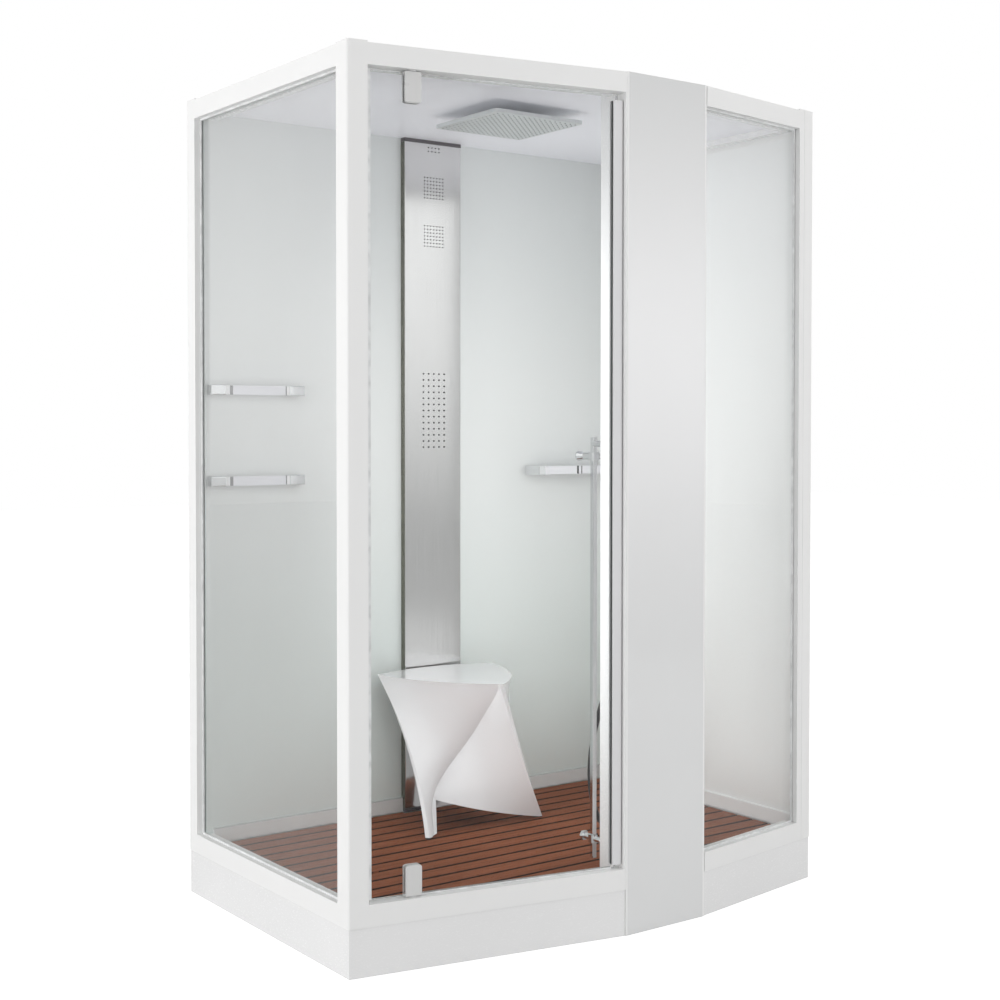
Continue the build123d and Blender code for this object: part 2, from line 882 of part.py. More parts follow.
def deck_plan(inset):
    """The floor that the boards cover: clear of the rails, the walls, the skirting and the column."""
    room = inner_plan - slab((-half_width, half_width), (rear_wall_y - skirting_thickness, half_depth))
    room -= slab((right_wall_x - skirting_thickness, half_width), (-half_depth, half_depth))
    room = offset(room, -deck_edge_gap - inset, kind=Kind.INTERSECTION)
    gap = deck_edge_gap + inset
    room -= slab((housing_rear_left - gap, housing_right + gap), (-half_depth, housing_inner_y + gap))
    column_face = rear_wall_y - column_proud
    room -= slab((column_left - gap, column_right + gap), (column_face - gap, half_depth))
    return room


def deck_boards():
    """Teak boards along the cabin, cut to the plan, with a finger hole for lifting the deck."""
    low = deck_height - board_thickness
    field = deck_plan(0)
    boards = []
    count = math.ceil((rear_wall_y - first_gap_y) / board_pitch)
    for index in range(count):
        start = first_gap_y + board_gap / 2 + index * board_pitch
        strip = field & slab((-half_width, half_width), (start, start + board_pitch - board_gap))
        for face in strip.faces():
            board = raise_up(face, low, deck_height)
            long_edges = board.edges().filter_by(Axis.X).group_by(Axis.Z)[-1]
            boards.append(chamfer(long_edges, board_edge))
    notch = raise_up(
        Pos(finger_x, finger_y) * SlotOverall(finger_width, finger_length), low - overrun, deck_height + overrun
    )
    return Compound(children=[solid for board in boards for solid in (board - notch).solids()])


def bearer_faces():
    field = deck_plan(bearer_inset)
    places = (-half_width * 3 / 4, -half_width / 4, half_width / 4 + bearer_width * 2, half_width * 3 / 4)
    faces = []
    for x in places:
        strip = field & slab((x - bearer_width / 2, x + bearer_width / 2), (-half_depth, half_depth))
        faces.extend(strip.faces())
    return faces


def deck_bearers():
    low = floor_height + deck_pad
    high = deck_height - board_thickness
    return Compound(children=[raise_up(face, low, high) for face in bearer_faces()])


def deck_pads():
    """Rubber pads under each bearer, near its ends and its middle."""
    pads = []
    for face in bearer_faces():
        box = face.bounding_box()
        middle_x = (box.min.X + box.max.X) / 2
        start = box.min.Y + deck_pad_length
        end = box.max.Y - deck_pad_length
        for y in (start, (start + end) / 2, end):
            pads.append(
                box_between(
                    (middle_x - deck_pad_width / 2, middle_x + deck_pad_width / 2),
                    (y - deck_pad_length / 2, y + deck_pad_length / 2),
                    (floor_height, floor_height + deck_pad),
                )
            )
    return Compound(children=pads)


def rear_wall():
    """The two panels of the rear wall, notched round the left rails. They meet behind the
    steel column."""
    glass_inner_x = -half_width + glass_inset + glass_thickness
    joint_x = (column_left + column_right) / 2
    panels = []
    for low, high in ((glass_inner_x, joint_x), (joint_x + trim_gap, right_wall_x)):
        panel = box_between(
            (low, high), (rear_wall_y, rear_wall_y + wall_thickness), (tray_height, ceiling_height)
        )
        for bottom, top in ((0, bottom_rail_top), (top_rail_bottom, cabin_height)):
            panel -= box_between((-half_width, left_wall_x), (0, half_depth), (bottom, top))
        panels.append(panel)
    return Compound(children=panels)


def right_wall():
    face = slab(
        (right_wall_x, right_wall_x + wall_thickness), (front_right.Y, rear_wall_y + wall_thickness)
    )
    face -= right_side.location * slab((-right_post_side, right_post_side + trim_gap), (0, post_width))
    return raise_up(face, tray_height, ceiling_height)


def wall_trims():
    """White skirting on both walls, with a bevelled top edge, and the flat trim at the right
    wall's top."""
    low = deck_height + trim_gap
    high = low + skirting_height
    front = rear_wall_y - skirting_thickness
    pieces = []
    for start, end in ((left_wall_x, column_left), (column_right, right_wall_x - skirting_thickness)):
        pieces.append(box_between((start, end), (front, rear_wall_y), (low, high)))
    wall_front = front_right.Y + right_post_side + 2 * trim_gap
    pieces.append(
        box_between(
            (right_wall_x - skirting_thickness, right_wall_x), (wall_front, rear_wall_y), (low, high)
        )
    )
    finished = []
    for piece in pieces:
        axis = Axis.X if piece.bounding_box().size.X > piece.bounding_box().size.Y else Axis.Y
        edge = piece.edges().filter_by(axis).group_by(Axis.Z)[-1].sort_by(Axis.Y if axis == Axis.X else Axis.X)[0]
        finished.append(chamfer(edge, skirting_bevel))
    trim_x = (right_wall_x - top_trim_thickness, right_wall_x)
    top_trim = box_between(
        trim_x, (wall_front, rear_wall_y), (top_rail_bottom - top_trim_height, top_rail_bottom)
    )
    return Compound(children=finished + [top_trim])


def ceiling_field():
    room = offset(plan, -rail_depth, kind=Kind.INTERSECTION) & slab(
        (-half_width, right_wall_x + wall_thickness), (-half_depth, rear_wall_y + wall_thickness)
    )
    room -= post_zone
    room -= slab(
        (housing_rear_left - trim_gap, housing_right + trim_gap), (-half_depth, housing_inner_y + trim_gap)
    )
    return room


def ceiling_panel():
    """The closed ceiling, which lies on the wall panels and the cornice, with a hole for the
    rain head's arm."""
    panel = raise_up(ceiling_field(), ceiling_height, ceiling_height + ceiling_thickness)
    hole = disc_along(
        upright(rain_head_x, rain_head_y, ceiling_height - overrun),
        rain_arm_radius + seat_gap,
        ceiling_thickness + 2 * overrun,
    )
    return panel - hole


def ceiling_cornice():
    """The lit band round the ceiling, along the left, the front and the right."""
    field = clear_plan
    band = field - offset(inner_plan, -cornice_width, kind=Kind.INTERSECTION)
    band -= slab((left_wall_x + cornice_width, right_wall_x - cornice_width), (0, half_depth))
    strips = []
    for face in band.faces():
        strips.append(raise_up(face, top_rail_bottom, ceiling_height))
    return Compound(children=strips)


def steel_column():
    """A folded sheet column on the rear wall, open at its back."""
    front = rear_wall_y - column_proud
    low = deck_height + trim_gap + column_trim_height
    high = ceiling_height - column_trim_height
    section = slab((column_left, column_right), (front, rear_wall_y))
    section = fillet(section.vertices().group_by(Axis.Y)[0], column_fold_radius)
    section -= slab(
        (column_left + column_sheet, column_right - column_sheet), (
            front + column_sheet, rear_wall_y + overrun
        )
    )
    return raise_up(section, low, high)


def steel_column_trims():
    """The dark plinth and the dark band that close the column at its foot and its top."""
    front = rear_wall_y - column_proud
    low = deck_height + trim_gap
    ends = ((low, low + column_trim_height), (ceiling_height - column_trim_height, ceiling_height))
    return Compound(
        children=[box_between((column_left, column_right), (front, rear_wall_y), end) for end in ends]
    )


def jet_field(drop, columns, rows, pitch, radius):
    """A regular field of nozzles on the column's face, with its middle at a drop below the ceiling."""
    face = Plane(
        origin=(jets_x, rear_wall_y - column_proud, ceiling_height - drop), x_dir=(1, 0, 0), z_dir=(
            0, -1, 0
        )
    )
    nozzle = extrude(RegularPolygon(radius, 6), amount=jet_height)
    places = [
        ((column - (columns - 1) / 2) * pitch[0], (row - (rows - 1) / 2) * pitch[1])
        for column in range(columns)
        for row in range(rows)
    ]
    return [face.location * Pos(x, z) * nozzle for x, z in places]


def body_jets():
    """One wide field of nozzles at chest height, two small ones above it and a short one under
    the ceiling."""
    fields = [(wide_jet_drop, wide_jet_columns, wide_jet_rows, wide_jet_pitch, wide_jet_radius)]
    for drop in small_jet_drops:
        fields.append((drop, small_jet_rows, small_jet_rows, small_jet_pitch, small_jet_radius))
    fields.append((top_jet_drop, top_jet_columns, top_jet_rows, top_jet_pitch, small_jet_radius))
    return Compound(children=[nozzle for field in fields for nozzle in jet_field(*field)])


def rain_head():
    """A thin square head with rounded corners and a bevelled rim."""
    low = ceiling_height - rain_head_drop - rain_head_thickness
    plate = Pos(rain_head_x, rain_head_y) * RectangleRounded(
        rain_head_size, rain_head_size, rain_head_radius
    )
    head = raise_up(plate, low, low + rain_head_thickness)
    return chamfer(head.edges().group_by(Axis.Z)[0], rain_head_bevel)


def rain_head_arm():
    """The short arm through the ceiling, with its rose."""
    low = ceiling_height - rain_head_drop
    rose_low = ceiling_height - rain_rose_height
    top = ceiling_height + pipe_over_ceiling + pipe_radius
    arm = disc_along(upright(rain_head_x, rain_head_y, low), rain_arm_radius, top - low)
    return arm + disc_along(upright(rain_head_x, rain_head_y, rose_low), rain_rose_radius, rain_rose_height)


def pipe_z():
    """The height of the pipes that lie over the ceiling."""
    return ceiling_height + pipe_over_ceiling


def pipe_ends():
    """Where the hot and the cold pipe drop into the housing."""
    y = (housing_inner_y + housing_rebate_y) / 2
    return [Vector(inlet_left_x + index * inlet_spacing, y) for index in range(2)]


def supply_pipes():
    """Hot and cold pipes from the rear inlets over the ceiling to the mixer, each ending in a
    threaded socket."""
    pipes = []
    socket_y = half_depth - inlet_length
    for centre in pipe_ends():
        drop = top_rail_top - housing_wall - pipe_bend
        path = FilletPolyline(
            (centre.X, socket_y, pipe_z()),
            (centre.X, centre.Y, pipe_z()),
            (centre.X, centre.Y, drop - pipe_bend),
            radius=pipe_bend / 2,
        )
        start = Plane(origin=(centre.X, socket_y, pipe_z()), x_dir=(1, 0, 0), z_dir=(0, -1, 0))
        tube = sweep(start * ring(pipe_radius, pipe_bore), path=path)
        back = Plane(origin=(centre.X, half_depth, pipe_z()), x_dir=(1, 0, 0), z_dir=(0, -1, 0))
        socket = disc_along(back, inlet_radius, inlet_length + extrusion_wall)
        socket -= disc_along(back, inlet_bore, inlet_length)
        socket -= disc_along(back, pipe_bore, inlet_length + 2 * extrusion_wall)
        pipes.append(socket + tube)
    return Compound(children=pipes)


def rounded_block(x, y, z):
    """A block with rounded front edges, fixed to the wall at its back."""
    block = box_between(x, y, z)
    front = block.faces().sort_by(Axis.Y)[0]
    return fillet(front.edges(), block_radius)


def towel_bar_ends():
    ends = []
    for z in (upper_bar_z, lower_bar_z):
        heights = (z - bar_height / 2, z + bar_height / 2)
        depth = (rear_wall_y - bar_depth, rear_wall_y)
        ends.append(rounded_block((bar_left, bar_left + bar_left_block), depth, heights))
        ends.append(rounded_block((bar_right - bar_right_block, bar_right), depth, heights))
    return Compound(children=ends)


def towel_bar_grips():
    """The bars between the blocks, bowed a little towards the room."""
    start = bar_left + bar_left_block
    end = bar_right - bar_right_block
    middle = (start + end) / 2
    front = rear_wall_y - bar_depth + block_radius
    back = front + bar_thickness
    outline = Polyline((end, front), (end, back), (start, back), (start, front)) + ThreePointArc(
        (start, front), (middle, front - bar_bow), (end, front)
    )
    face = make_face(outline)
    bars = []
    for z in (upper_bar_z, lower_bar_z):
        bars.append(raise_up(face, z - bar_height / 2 + trim_gap, z + bar_height / 2 - trim_gap))
    return Compound(children=bars)


def shelf_ends():
    heights = (shelf_z - bar_height / 2, shelf_z + bar_height / 2)
    depth = (rear_wall_y - shelf_depth, rear_wall_y)
    left = rounded_block((shelf_left, shelf_left + shelf_block), depth, heights)
    right = rounded_block((shelf_right - shelf_block, shelf_right), depth, heights)
    return Compound(children=[left, right])


def bottle_shelf():
    """The shelf plate with the front rail that keeps the bottles in."""
    start = shelf_left + shelf_block
    end = shelf_right - shelf_block
    low = shelf_z - bar_height / 2 + trim_gap
    high = shelf_z + bar_height / 2 - trim_gap
    front = rear_wall_y - shelf_depth + block_radius
    across = Plane(origin=(start, 0, 0), x_dir=(0, 1, 0), z_dir=(1, 0, 0))
    section = slab((front, rear_wall_y), (low, low + shelf_plate)) + slab(
        (front, front + shelf_rail), (low, high)
    )
    return extrude(across * section, amount=end - start)


def rail_axis_y():
    return housing_inner_y + rail_stand + rail_side / 2


def hand_shower_rail():
    """A slim square bar with eased edges, closed at its top."""
    square = Pos(rail_x, rail_axis_y()) * Rectangle(rail_side, rail_side)
    square = chamfer(square.vertices(), rail_edge)
    return raise_up(square, rail_bottom, rail_top)


def rail_brackets():
    """Two stand-offs on the housing, and the clamp with a small lever arm at the rail's foot."""
    pieces = []
    for z in (upper_bracket_z, lower_bracket_z):
        stub = disc_along(into_cabin(rail_x, housing_inner_y, z), bracket_rose_radius, bracket_rose_height)
        stub += disc_along(into_cabin(rail_x, housing_inner_y, z), bracket_radius, rail_stand)
        pieces.append(stub)
    axis_y = rail_axis_y()
    collar = disc_along(
        upright(rail_x, axis_y, lower_bracket_z - clamp_height / 2), clamp_radius, clamp_height
    )
    face_y = axis_y + rail_side / 2
    arm = disc_along(into_cabin(rail_x, face_y, lower_bracket_z), clamp_arm_radius, clamp_arm_length)
    head = extrude(
        into_cabin(rail_x, face_y + clamp_arm_length, lower_bracket_z) * RegularPolygon(clamp_radius, 6),
        amount=clamp_arm_radius,
    )
    hole = Pos(rail_x, axis_y, lower_bracket_z) * Box(rail_side, rail_side, clamp_height + overrun)
    lower = pieces.pop() + collar + arm + head - hole
    pieces.append(lower)
    return Compound(children=pieces)


def rail_slider():
    """The slider round the rail: a collar, the lock's spindle towards the room, and the ring
    for the handset."""
    axis_y = rail_axis_y()
    half = rail_side / 2 + slider_wall
    body = Pos(rail_x, axis_y, slider_z) * Box(2 * half, 2 * half, 2 * slider_radius)
    body = fillet(body.edges().filter_by(Axis.Z), slider_wall)
    barrel = disc_along(into_cabin(rail_x, axis_y, slider_z), slider_radius - trim_gap, slider_arm)
    spindle = disc_along(
        into_cabin(rail_x, axis_y, slider_z), knob_spindle_radius, slider_arm + knob_spindle_length
    )
    arm = Plane(origin=(rail_x, axis_y, slider_z), x_dir=(0, 1, 0), z_dir=(1, 0, 0))
    reach = disc_along(arm, slider_radius - 2 * trim_gap, handset_offset)
    ring_low = slider_z - holder_height / 2
    bore = handset_radius + running_gap
    holder = disc_along(
        upright(rail_x + handset_offset, axis_y, ring_low), bore + holder_wall, holder_height
    )
    slider = body + barrel + spindle + reach + holder
    slot = rail_side + 2 * seat_gap
    slider -= Pos(rail_x, axis_y, slider_z) * Box(slot, slot, holder_height)
    return slider - disc_along(
        upright(rail_x + handset_offset, axis_y, ring_low - overrun), bore, holder_height + 2 * overrun
    )


def slider_knob():
    """A conical lock knob that turns on the slider's spindle."""
    start = rail_axis_y() + slider_arm + seat_gap
    bore = knob_spindle_radius + running_gap
    depth = knob_spindle_length
    section = polygon(
        (bore, 0),
        (knob_small_radius, 0),
        (knob_large_radius, knob_length - knob_small_radius / 2),
        (knob_large_radius, knob_length - trim_gap),
        (knob_large_radius - trim_gap, knob_length),
        (0, knob_length),
        (0, depth),
        (bore, depth),
    )
    knob = revolve(Plane.XZ * section, Axis.Z)
    return into_cabin(rail_x, start, slider_z).location * knob


def handset():
    """A slim stick handset: a tapered handle, a straight head and a recessed spray face."""
    centre = (rail_x + handset_offset, rail_axis_y())
    straight = slider_z - holder_height
    section = polygon(
        (0, handset_bottom),
        (handset_foot_radius, handset_bottom),
        (handset_radius, straight),
        (handset_radius, handset_top - trim_gap),
        (handset_radius - trim_gap, handset_top),
        (0, handset_top),
    )
    stick = revolve(Plane.XZ * section, Axis.Z)
    flat = handset_radius - spray_recess
    spray_low = handset_top - 3 * spray_radius
    stick -= box_between(
        (-handset_radius, handset_radius), (flat, handset_radius + overrun), (
            spray_low, handset_top + overrun
        )
    )
    return Pos(*centre) * stick


def hose_elbow():
    """The wall outlet: a rose, a stub and a nose that points down."""
    start = into_cabin(mixer_x, housing_inner_y, elbow_z)
    rose = disc_along(start, elbow_rose_radius, elbow_rose_height)
    stub = disc_along(start, elbow_radius, elbow_reach + elbow_radius / 2)
    nose = disc_along(
        upright(mixer_x, housing_inner_y + elbow_reach, elbow_z - elbow_drop), elbow_radius - trim_gap, elbow_drop
    )
    return rose + stub + nose


# The hose's route, from the wall outlet down, round its loop and up to the handset
hose_route = (
    (150, -372, 735),
    (150, -372, 675),
    (164, -356, 600),
    (194, -334, 520),
    (226, -316, 440),
    (246, -304, 355),
    (238, -300, 275),
    (194, -300, 214),
    (128, -300, 194),
    (70, -300, 222),
    (37, -300, 285),
    (27, -300, 360),
    (33, -300, 435),
    (50, -304, 510),
    (72, -314, 590),
    (83, -328, 680),
    (72, -342, 780),
    (47, -353.5, 880),
    (47, -353.5, 985),
)


def shower_hose():
    """The hose: a tube of straight runs that rounded bends join."""
    points = [Vector(*point) for point in hose_route]
    radii = []
    for index in range(1, len(points) - 1):
        before = points[index] - points[index - 1]
        after = points[index + 1] - points[index]
        turn = math.radians(before.get_angle(after))
        radii.append(hose_bend_share * min(before.length, after.length) / math.tan(turn / 2))
    path = FilletPolyline(*points, radius=radii)
    plane = Plane(origin=points[0], z_dir=points[1] - points[0])
    return sweep(plane * Circle(hose_radius), path=path)


def mixer_body():
    """The mixer: its plate on the housing, the valve inside and the two spindles."""
    middle = (mixer_bottom + mixer_top) / 2
    plate = extrude(
        into_cabin(mixer_x, housing_inner_y, middle)
        * RectangleRounded(mixer_width, mixer_top - mixer_bottom, mixer_plate_radius),
        amount=mixer_plate,
    )
    plate = chamfer(plate.edges().group_by(Axis.Y)[-1], trim_gap)
    valve = disc_along(
        into_cabin(mixer_x, housing_inner_y - valve_depth, middle), valve_radius, valve_depth
    )
    body = plate + valve
    for z in (mixer_knob_z, diverter_knob_z):
        spindle = into_cabin(mixer_x, housing_inner_y + mixer_plate, z)
        body += disc_along(spindle, control_spindle_radius, control_bore_length - trim_gap)
    return body


def control_knob(z):
    """A round knob with a raised grip bar across its face and a blind bore on the spindle."""
    start = housing_inner_y + mixer_plate + seat_gap
    knob = disc_along(into_cabin(0, 0, 0), control_radius, control_length)
    knob = chamfer(knob.edges().group_by(Axis.Y)[-1], control_edge)
    grip = Box(control_grip_width, control_grip_height * 2, 2 * control_radius - 4 * control_edge)
    knob += Pos(0, control_length, 0) * grip
    knob -= disc_along(
        into_cabin(0, -overrun, 0), control_spindle_radius + running_gap, control_bore_length + overrun
    )
    return Pos(mixer_x, start, z) * knob


def stool_tip(index, share, inset):
    """The edge of one fin at a level: a line from the seat to the foot that may bow inwards."""
    angle = seat_angle + index * third_angle
    top = Vector(seat_reaches[index], 0).rotate(Axis.Z, angle)
    foot = Vector(foot_reaches[index], 0).rotate(Axis.Z, angle + stool_twist_angle)
    inward = (top + foot).normalized() * -fin_bows[index]
    tip = foot + (top - foot) * share + inward * (4 * share * (1 - share))
    return tip - tip.normalized() * inset


def crease_place(share):
    """How far along its side the crease lies at a level, between the places measured at equal
    steps of height."""
    steps = len(crease_shares) - 1
    level = min(max(share, 0), 1) * steps
    first = min(int(level), steps - 1)
    low, high = crease_shares[first], crease_shares[first + 1]
    return low + (high - low) * (level - first)


def stool_crease(start, end, share, inset):
    """The crease of one side at a level: it runs from the far corner of the seat down to its
    own foot."""
    along = end - start
    outward = along.cross(Vector(0, 0, 1)).normalized()
    room = inset * inset_room_share / along.length
    place = min(max(crease_place(share), room), 1 - room)
    return start + along * place - outward * (crease_depth * 4 * share * (1 - share) + inset)


def flank_crown(start, end):
    """The middle of the rounded flank between the edge of a fin and the crease."""
    along = end - start
    outward = along.cross(Vector(0, 0, 1)).normalized()
    return start + along / 2 + outward * along.length * flank_bow_share


def stool_section(share, inset):
    """One level of the stool: three fins, each with a rounded flank that ends in a crease
    before the next fin."""
    half = fin_thickness / 2 - inset / 2
    tips = [stool_tip(index, share, inset * 2) for index in range(3)]
    outer_tips = [stool_tip(index, share, 0) for index in range(3)]
    corners = []
    for tip in tips:
        across = Vector(0, 0, 1).cross(tip.normalized()) * half
        corners.append((tip - across, tip + across))
    edges = []
    for index, (low, high) in enumerate(corners):
        following = (index + 1) % 3
        crease = stool_crease(outer_tips[index], outer_tips[following], share, inset)
        edges.append(Line(low, high))
        edges.append(ThreePointArc(high, flank_crown(high, crease), crease))
        edges.append(Line(crease, corners[following][0]))
    return make_face(Curve() + edges)


def stool_form(inset, low, high):
    """A loft through the levels between two heights above the foot of the stool."""
    rise = stool_height - stool_pad
    sections = []
    for level in range(stool_levels + 1):
        z = low + (high - low) * level / stool_levels
        sections.append(Pos(0, 0, z) * stool_section(z / rise, inset))
    return loft(sections)


def arch_cutter(index):
    """The arch under one side: high beside its own foot and falling to nothing at the next."""
    feet = [stool_tip(place % 3, 0, 0) for place in (index - 1, index, index + 1)]
    along = feet[2] - feet[1]
    side = Plane(origin=feet[1], x_dir=along, z_dir=along.cross(Vector(0, 0, 1)))
    length = along.length
    first = length * arch_start_share
    edge = Spline((first, arch_height), (length / 2, arch_height / 2), (length, -overrun))
    outline = edge + Polyline((length, -overrun), (first, -overrun), (first, arch_height))
    return extrude(side * make_face(outline), amount=arch_height, dir=feet[1] - feet[0], both=True)


def stool_shell():
    """A thin twisted shell, open underneath, on three fins."""
    rise = stool_height - stool_pad
    shell = stool_form(0, 0, rise) - stool_form(stool_wall, -overrun, rise - stool_wall)
    for index in range(3):
        shell -= arch_cutter(index)
    return Pos(stool_x, stool_y, deck_height + stool_pad) * shell


def stool_foot_pads():
    """A soft pad under each foot."""
    pads = []
    for index, reach in enumerate(foot_reaches):
        pad = raise_up(
            slab((reach - stool_pad_length, reach), (-fin_thickness / 2, fin_thickness / 2)),
            deck_height,
            deck_height + stool_pad,
        )
        pads.append(
            Pos(stool_x, stool_y) * Rot(0, 0, seat_angle + index * third_angle + stool_twist_angle) * pad
        )
    return Compound(children=pads)


parts["shower_tray"] = shower_tray()
parts["tray_support_frame"] = support_frame()
parts["levelling_feet"] = levelling_feet()
parts["drain_trap"] = drain_trap()
parts["drain_flange"] = drain_flange()
parts["drain_cover"] = drain_cover()
parts["deck_boards"] = deck_boards()
parts["deck_bearers"] = deck_bearers()
parts["deck_pads"] = deck_pads()
parts["front_left_post"] = front_left_post()
parts["front_right_post"] = front_right_post()
parts["rear_posts"] = rear_posts()
frame_rails()
parts["left_glass"] = left_glass()
parts["right_front_glass"] = right_front_glass()
parts["pane_seals"] = pane_seals()
parts["door_glass"] = door_glass()
parts["door_hinge_blocks"] = pivot_blocks()
parts["door_hinge_pins"] = hinge_pins()
parts["hinge_bushes"] = hinge_bushes()
parts["door_handle_profile"] = door_handle_profile()
parts["door_seals"] = door_seals()
parts["strike_profile"] = strike_profile()
parts["column_front_panel"] = column_front_panel()
parts["column_edge_trims"] = column_edge_trims()
parts["column_housing"] = column_housing()
parts["mixer_body"] = mixer_body()
parts["temperature_knob"] = control_knob(mixer_knob_z)
parts["diverter_knob"] = control_knob(diverter_knob_z)
parts["rear_wall_panels"] = rear_wall()
parts["right_wall_panel"] = right_wall()
parts["wall_trims"] = wall_trims()
parts["ceiling_panel"] = ceiling_panel()
parts["ceiling_cornice"] = ceiling_cornice()
parts["steel_column"] = steel_column()
parts["steel_column_trims"] = steel_column_trims()
parts["body_jets"] = body_jets()
parts["rain_head"] = rain_head()
parts["rain_head_arm"] = rain_head_arm()
parts["supply_pipes"] = supply_pipes()
parts["towel_bar_ends"] = towel_bar_ends()
parts["towel_bar_grips"] = towel_bar_grips()
parts["shelf_ends"] = shelf_ends()
parts["bottle_shelf"] = bottle_shelf()
parts["hand_shower_rail"] = hand_shower_rail()
parts["rail_brackets"] = rail_brackets()
parts["rail_slider"] = rail_slider()
parts["slider_knob"] = slider_knob()
parts["handset"] = handset()
parts["hose_elbow"] = hose_elbow()
parts["shower_hose"] = shower_hose()
parts["stool_shell"] = stool_shell()
parts["stool_foot_pads"] = stool_foot_pads()

for name, shape in parts.items():
    export_step(shape, f"parts/{name}.step")
print(len(parts), "pieces")
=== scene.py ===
# %% [markdown]
# # A closed shower cabin with a teak deck and a moulded stool
#
# The real cabin is a white painted frame on a white tray, with clear glass at the left and in front, closed
# glossy walls behind, a polished steel shower column, a rain head in the ceiling and a loose teak deck. The
# hard pieces come ready made from the CAD frame. This file gives them their finishes, adds what is too
# fine or too soft for CAD, and lights the cabin as in a plain photo studio.

# %% Load the frame
import bmesh
import bpy
import math
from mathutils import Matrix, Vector


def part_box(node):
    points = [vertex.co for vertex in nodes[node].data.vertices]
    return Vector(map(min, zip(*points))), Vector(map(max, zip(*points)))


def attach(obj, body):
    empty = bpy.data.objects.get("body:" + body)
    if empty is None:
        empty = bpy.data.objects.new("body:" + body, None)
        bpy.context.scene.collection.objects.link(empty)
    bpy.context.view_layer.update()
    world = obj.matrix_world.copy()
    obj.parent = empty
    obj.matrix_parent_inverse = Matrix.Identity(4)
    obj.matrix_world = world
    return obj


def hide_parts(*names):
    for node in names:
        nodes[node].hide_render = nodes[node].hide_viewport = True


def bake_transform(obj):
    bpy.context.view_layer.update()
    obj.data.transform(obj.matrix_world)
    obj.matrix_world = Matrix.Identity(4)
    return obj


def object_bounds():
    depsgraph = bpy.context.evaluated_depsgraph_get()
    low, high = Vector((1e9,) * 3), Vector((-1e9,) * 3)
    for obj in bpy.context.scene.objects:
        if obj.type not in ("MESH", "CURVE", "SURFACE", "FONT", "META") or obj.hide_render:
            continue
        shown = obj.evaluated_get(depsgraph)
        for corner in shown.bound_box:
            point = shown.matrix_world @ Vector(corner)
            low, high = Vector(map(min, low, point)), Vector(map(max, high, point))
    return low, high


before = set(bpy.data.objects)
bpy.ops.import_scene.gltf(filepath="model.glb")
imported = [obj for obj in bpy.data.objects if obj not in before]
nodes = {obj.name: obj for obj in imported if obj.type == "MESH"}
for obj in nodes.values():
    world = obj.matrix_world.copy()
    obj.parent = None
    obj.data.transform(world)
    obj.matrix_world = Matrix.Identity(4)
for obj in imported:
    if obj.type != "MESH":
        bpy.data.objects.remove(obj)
cad_low, cad_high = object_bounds()
print("cabin box", [round(high - low, 3) for low, high in zip(cad_low, cad_high)])

# %% [markdown]
# ## The camera
#
# The photograph was taken from the front left, a little above the middle of the cabin, with a camera held
# almost level. The verticals of the cabin converge only slightly. A long lens at a distance of over three
# metres gives this view. The place, the turn and the lens were found by matching the corners of the cabin,
# and the small shift moves the picture because the photograph was cropped off centre.

# %% Camera
camera_place = (-2.5168, -3.4443, 1.2688)
camera_pitch_deg, camera_roll_deg, camera_yaw_deg = 88.66, -0.05, -36.80
camera_lens_mm = 56.016
sensor_width_mm = 36.0
camera_shift = (-0.0307, -0.0360)

camera_data = bpy.data.cameras.new("studio_camera")
camera_data.lens = camera_lens_mm
camera_data.sensor_width = sensor_width_mm
camera_data.shift_x, camera_data.shift_y = camera_shift
camera = bpy.data.objects.new("studio_camera", camera_data)
bpy.context.scene.collection.objects.link(camera)
camera.location = camera_place
camera.rotation_mode = "XYZ"
camera_turn_deg = (camera_pitch_deg, camera_roll_deg, camera_yaw_deg)
camera.rotation_euler = [math.radians(angle) for angle in camera_turn_deg]
bpy.context.scene.camera = camera
bpy.context.scene.view_settings.view_transform = "Standard"
print("camera at", camera_place, "lens", camera_lens_mm)

# %% [markdown]
# ## The shower hose
#
# A rubber hose of 14 mm hangs from the elbow under the mixer, makes one loop above the deck and rises to
# the foot of the hand shower. A hose is one smooth bend after another, so it is a NURBS spline through a
# few control points, and a round tube is drawn along it.

# %% The hose's route
hose_diameter = 0.014
hose_route = [
    (0.150, -0.372, 0.735), (0.150, -0.372, 0.675), (0.164, -0.356, 0.600), (0.194, -0.334, 0.520),
    (0.226, -0.316, 0.440), (0.246, -0.304, 0.355), (0.238, -0.300, 0.275), (0.194, -0.300, 0.214),
    (0.128, -0.300, 0.194), (0.070, -0.300, 0.222), (0.037, -0.300, 0.285), (0.027, -0.300, 0.360),
    (0.033, -0.300, 0.435), (0.050, -0.304, 0.510), (0.072, -0.314, 0.590), (0.083, -0.328, 0.680),
    (0.072, -0.342, 0.780), (0.047, -0.3535, 0.880), (0.047, -0.3535, 0.985),
]
hose_steps = 12
hose_roundness = 5


def hose_curve(name, thickness):
    """A spline along the hose's route, drawn as thick as is asked."""
    curve = bpy.data.curves.new(name, "CURVE")
    curve.dimensions = "3D"
    spline = curve.splines.new("NURBS")
    spline.points.add(len(hose_route) - 1)
    for point, place in zip(spline.points, hose_route):
        point.co = (*place, 1.0)
    spline.order_u = 3
    spline.use_endpoint_u = True
    spline.resolution_u = hose_steps
    curve.resolution_u = hose_steps
    curve.bevel_depth = thickness / 2
    curve.bevel_resolution = hose_roundness
    curve.use_fill_caps = thickness > 0
    hose = bpy.data.objects.new(name, curve)
    bpy.context.scene.collection.objects.link(hose)
    return hose


def curve_points(curve_object):
    """The points along an unbevelled curve, in order."""
    line = bpy.data.meshes.new_from_object(curve_object)
    points = [tuple(v.co) for v in line.vertices]
    bpy.data.meshes.remove(line)
    return points


print("hose route", len(hose_route), "control points")
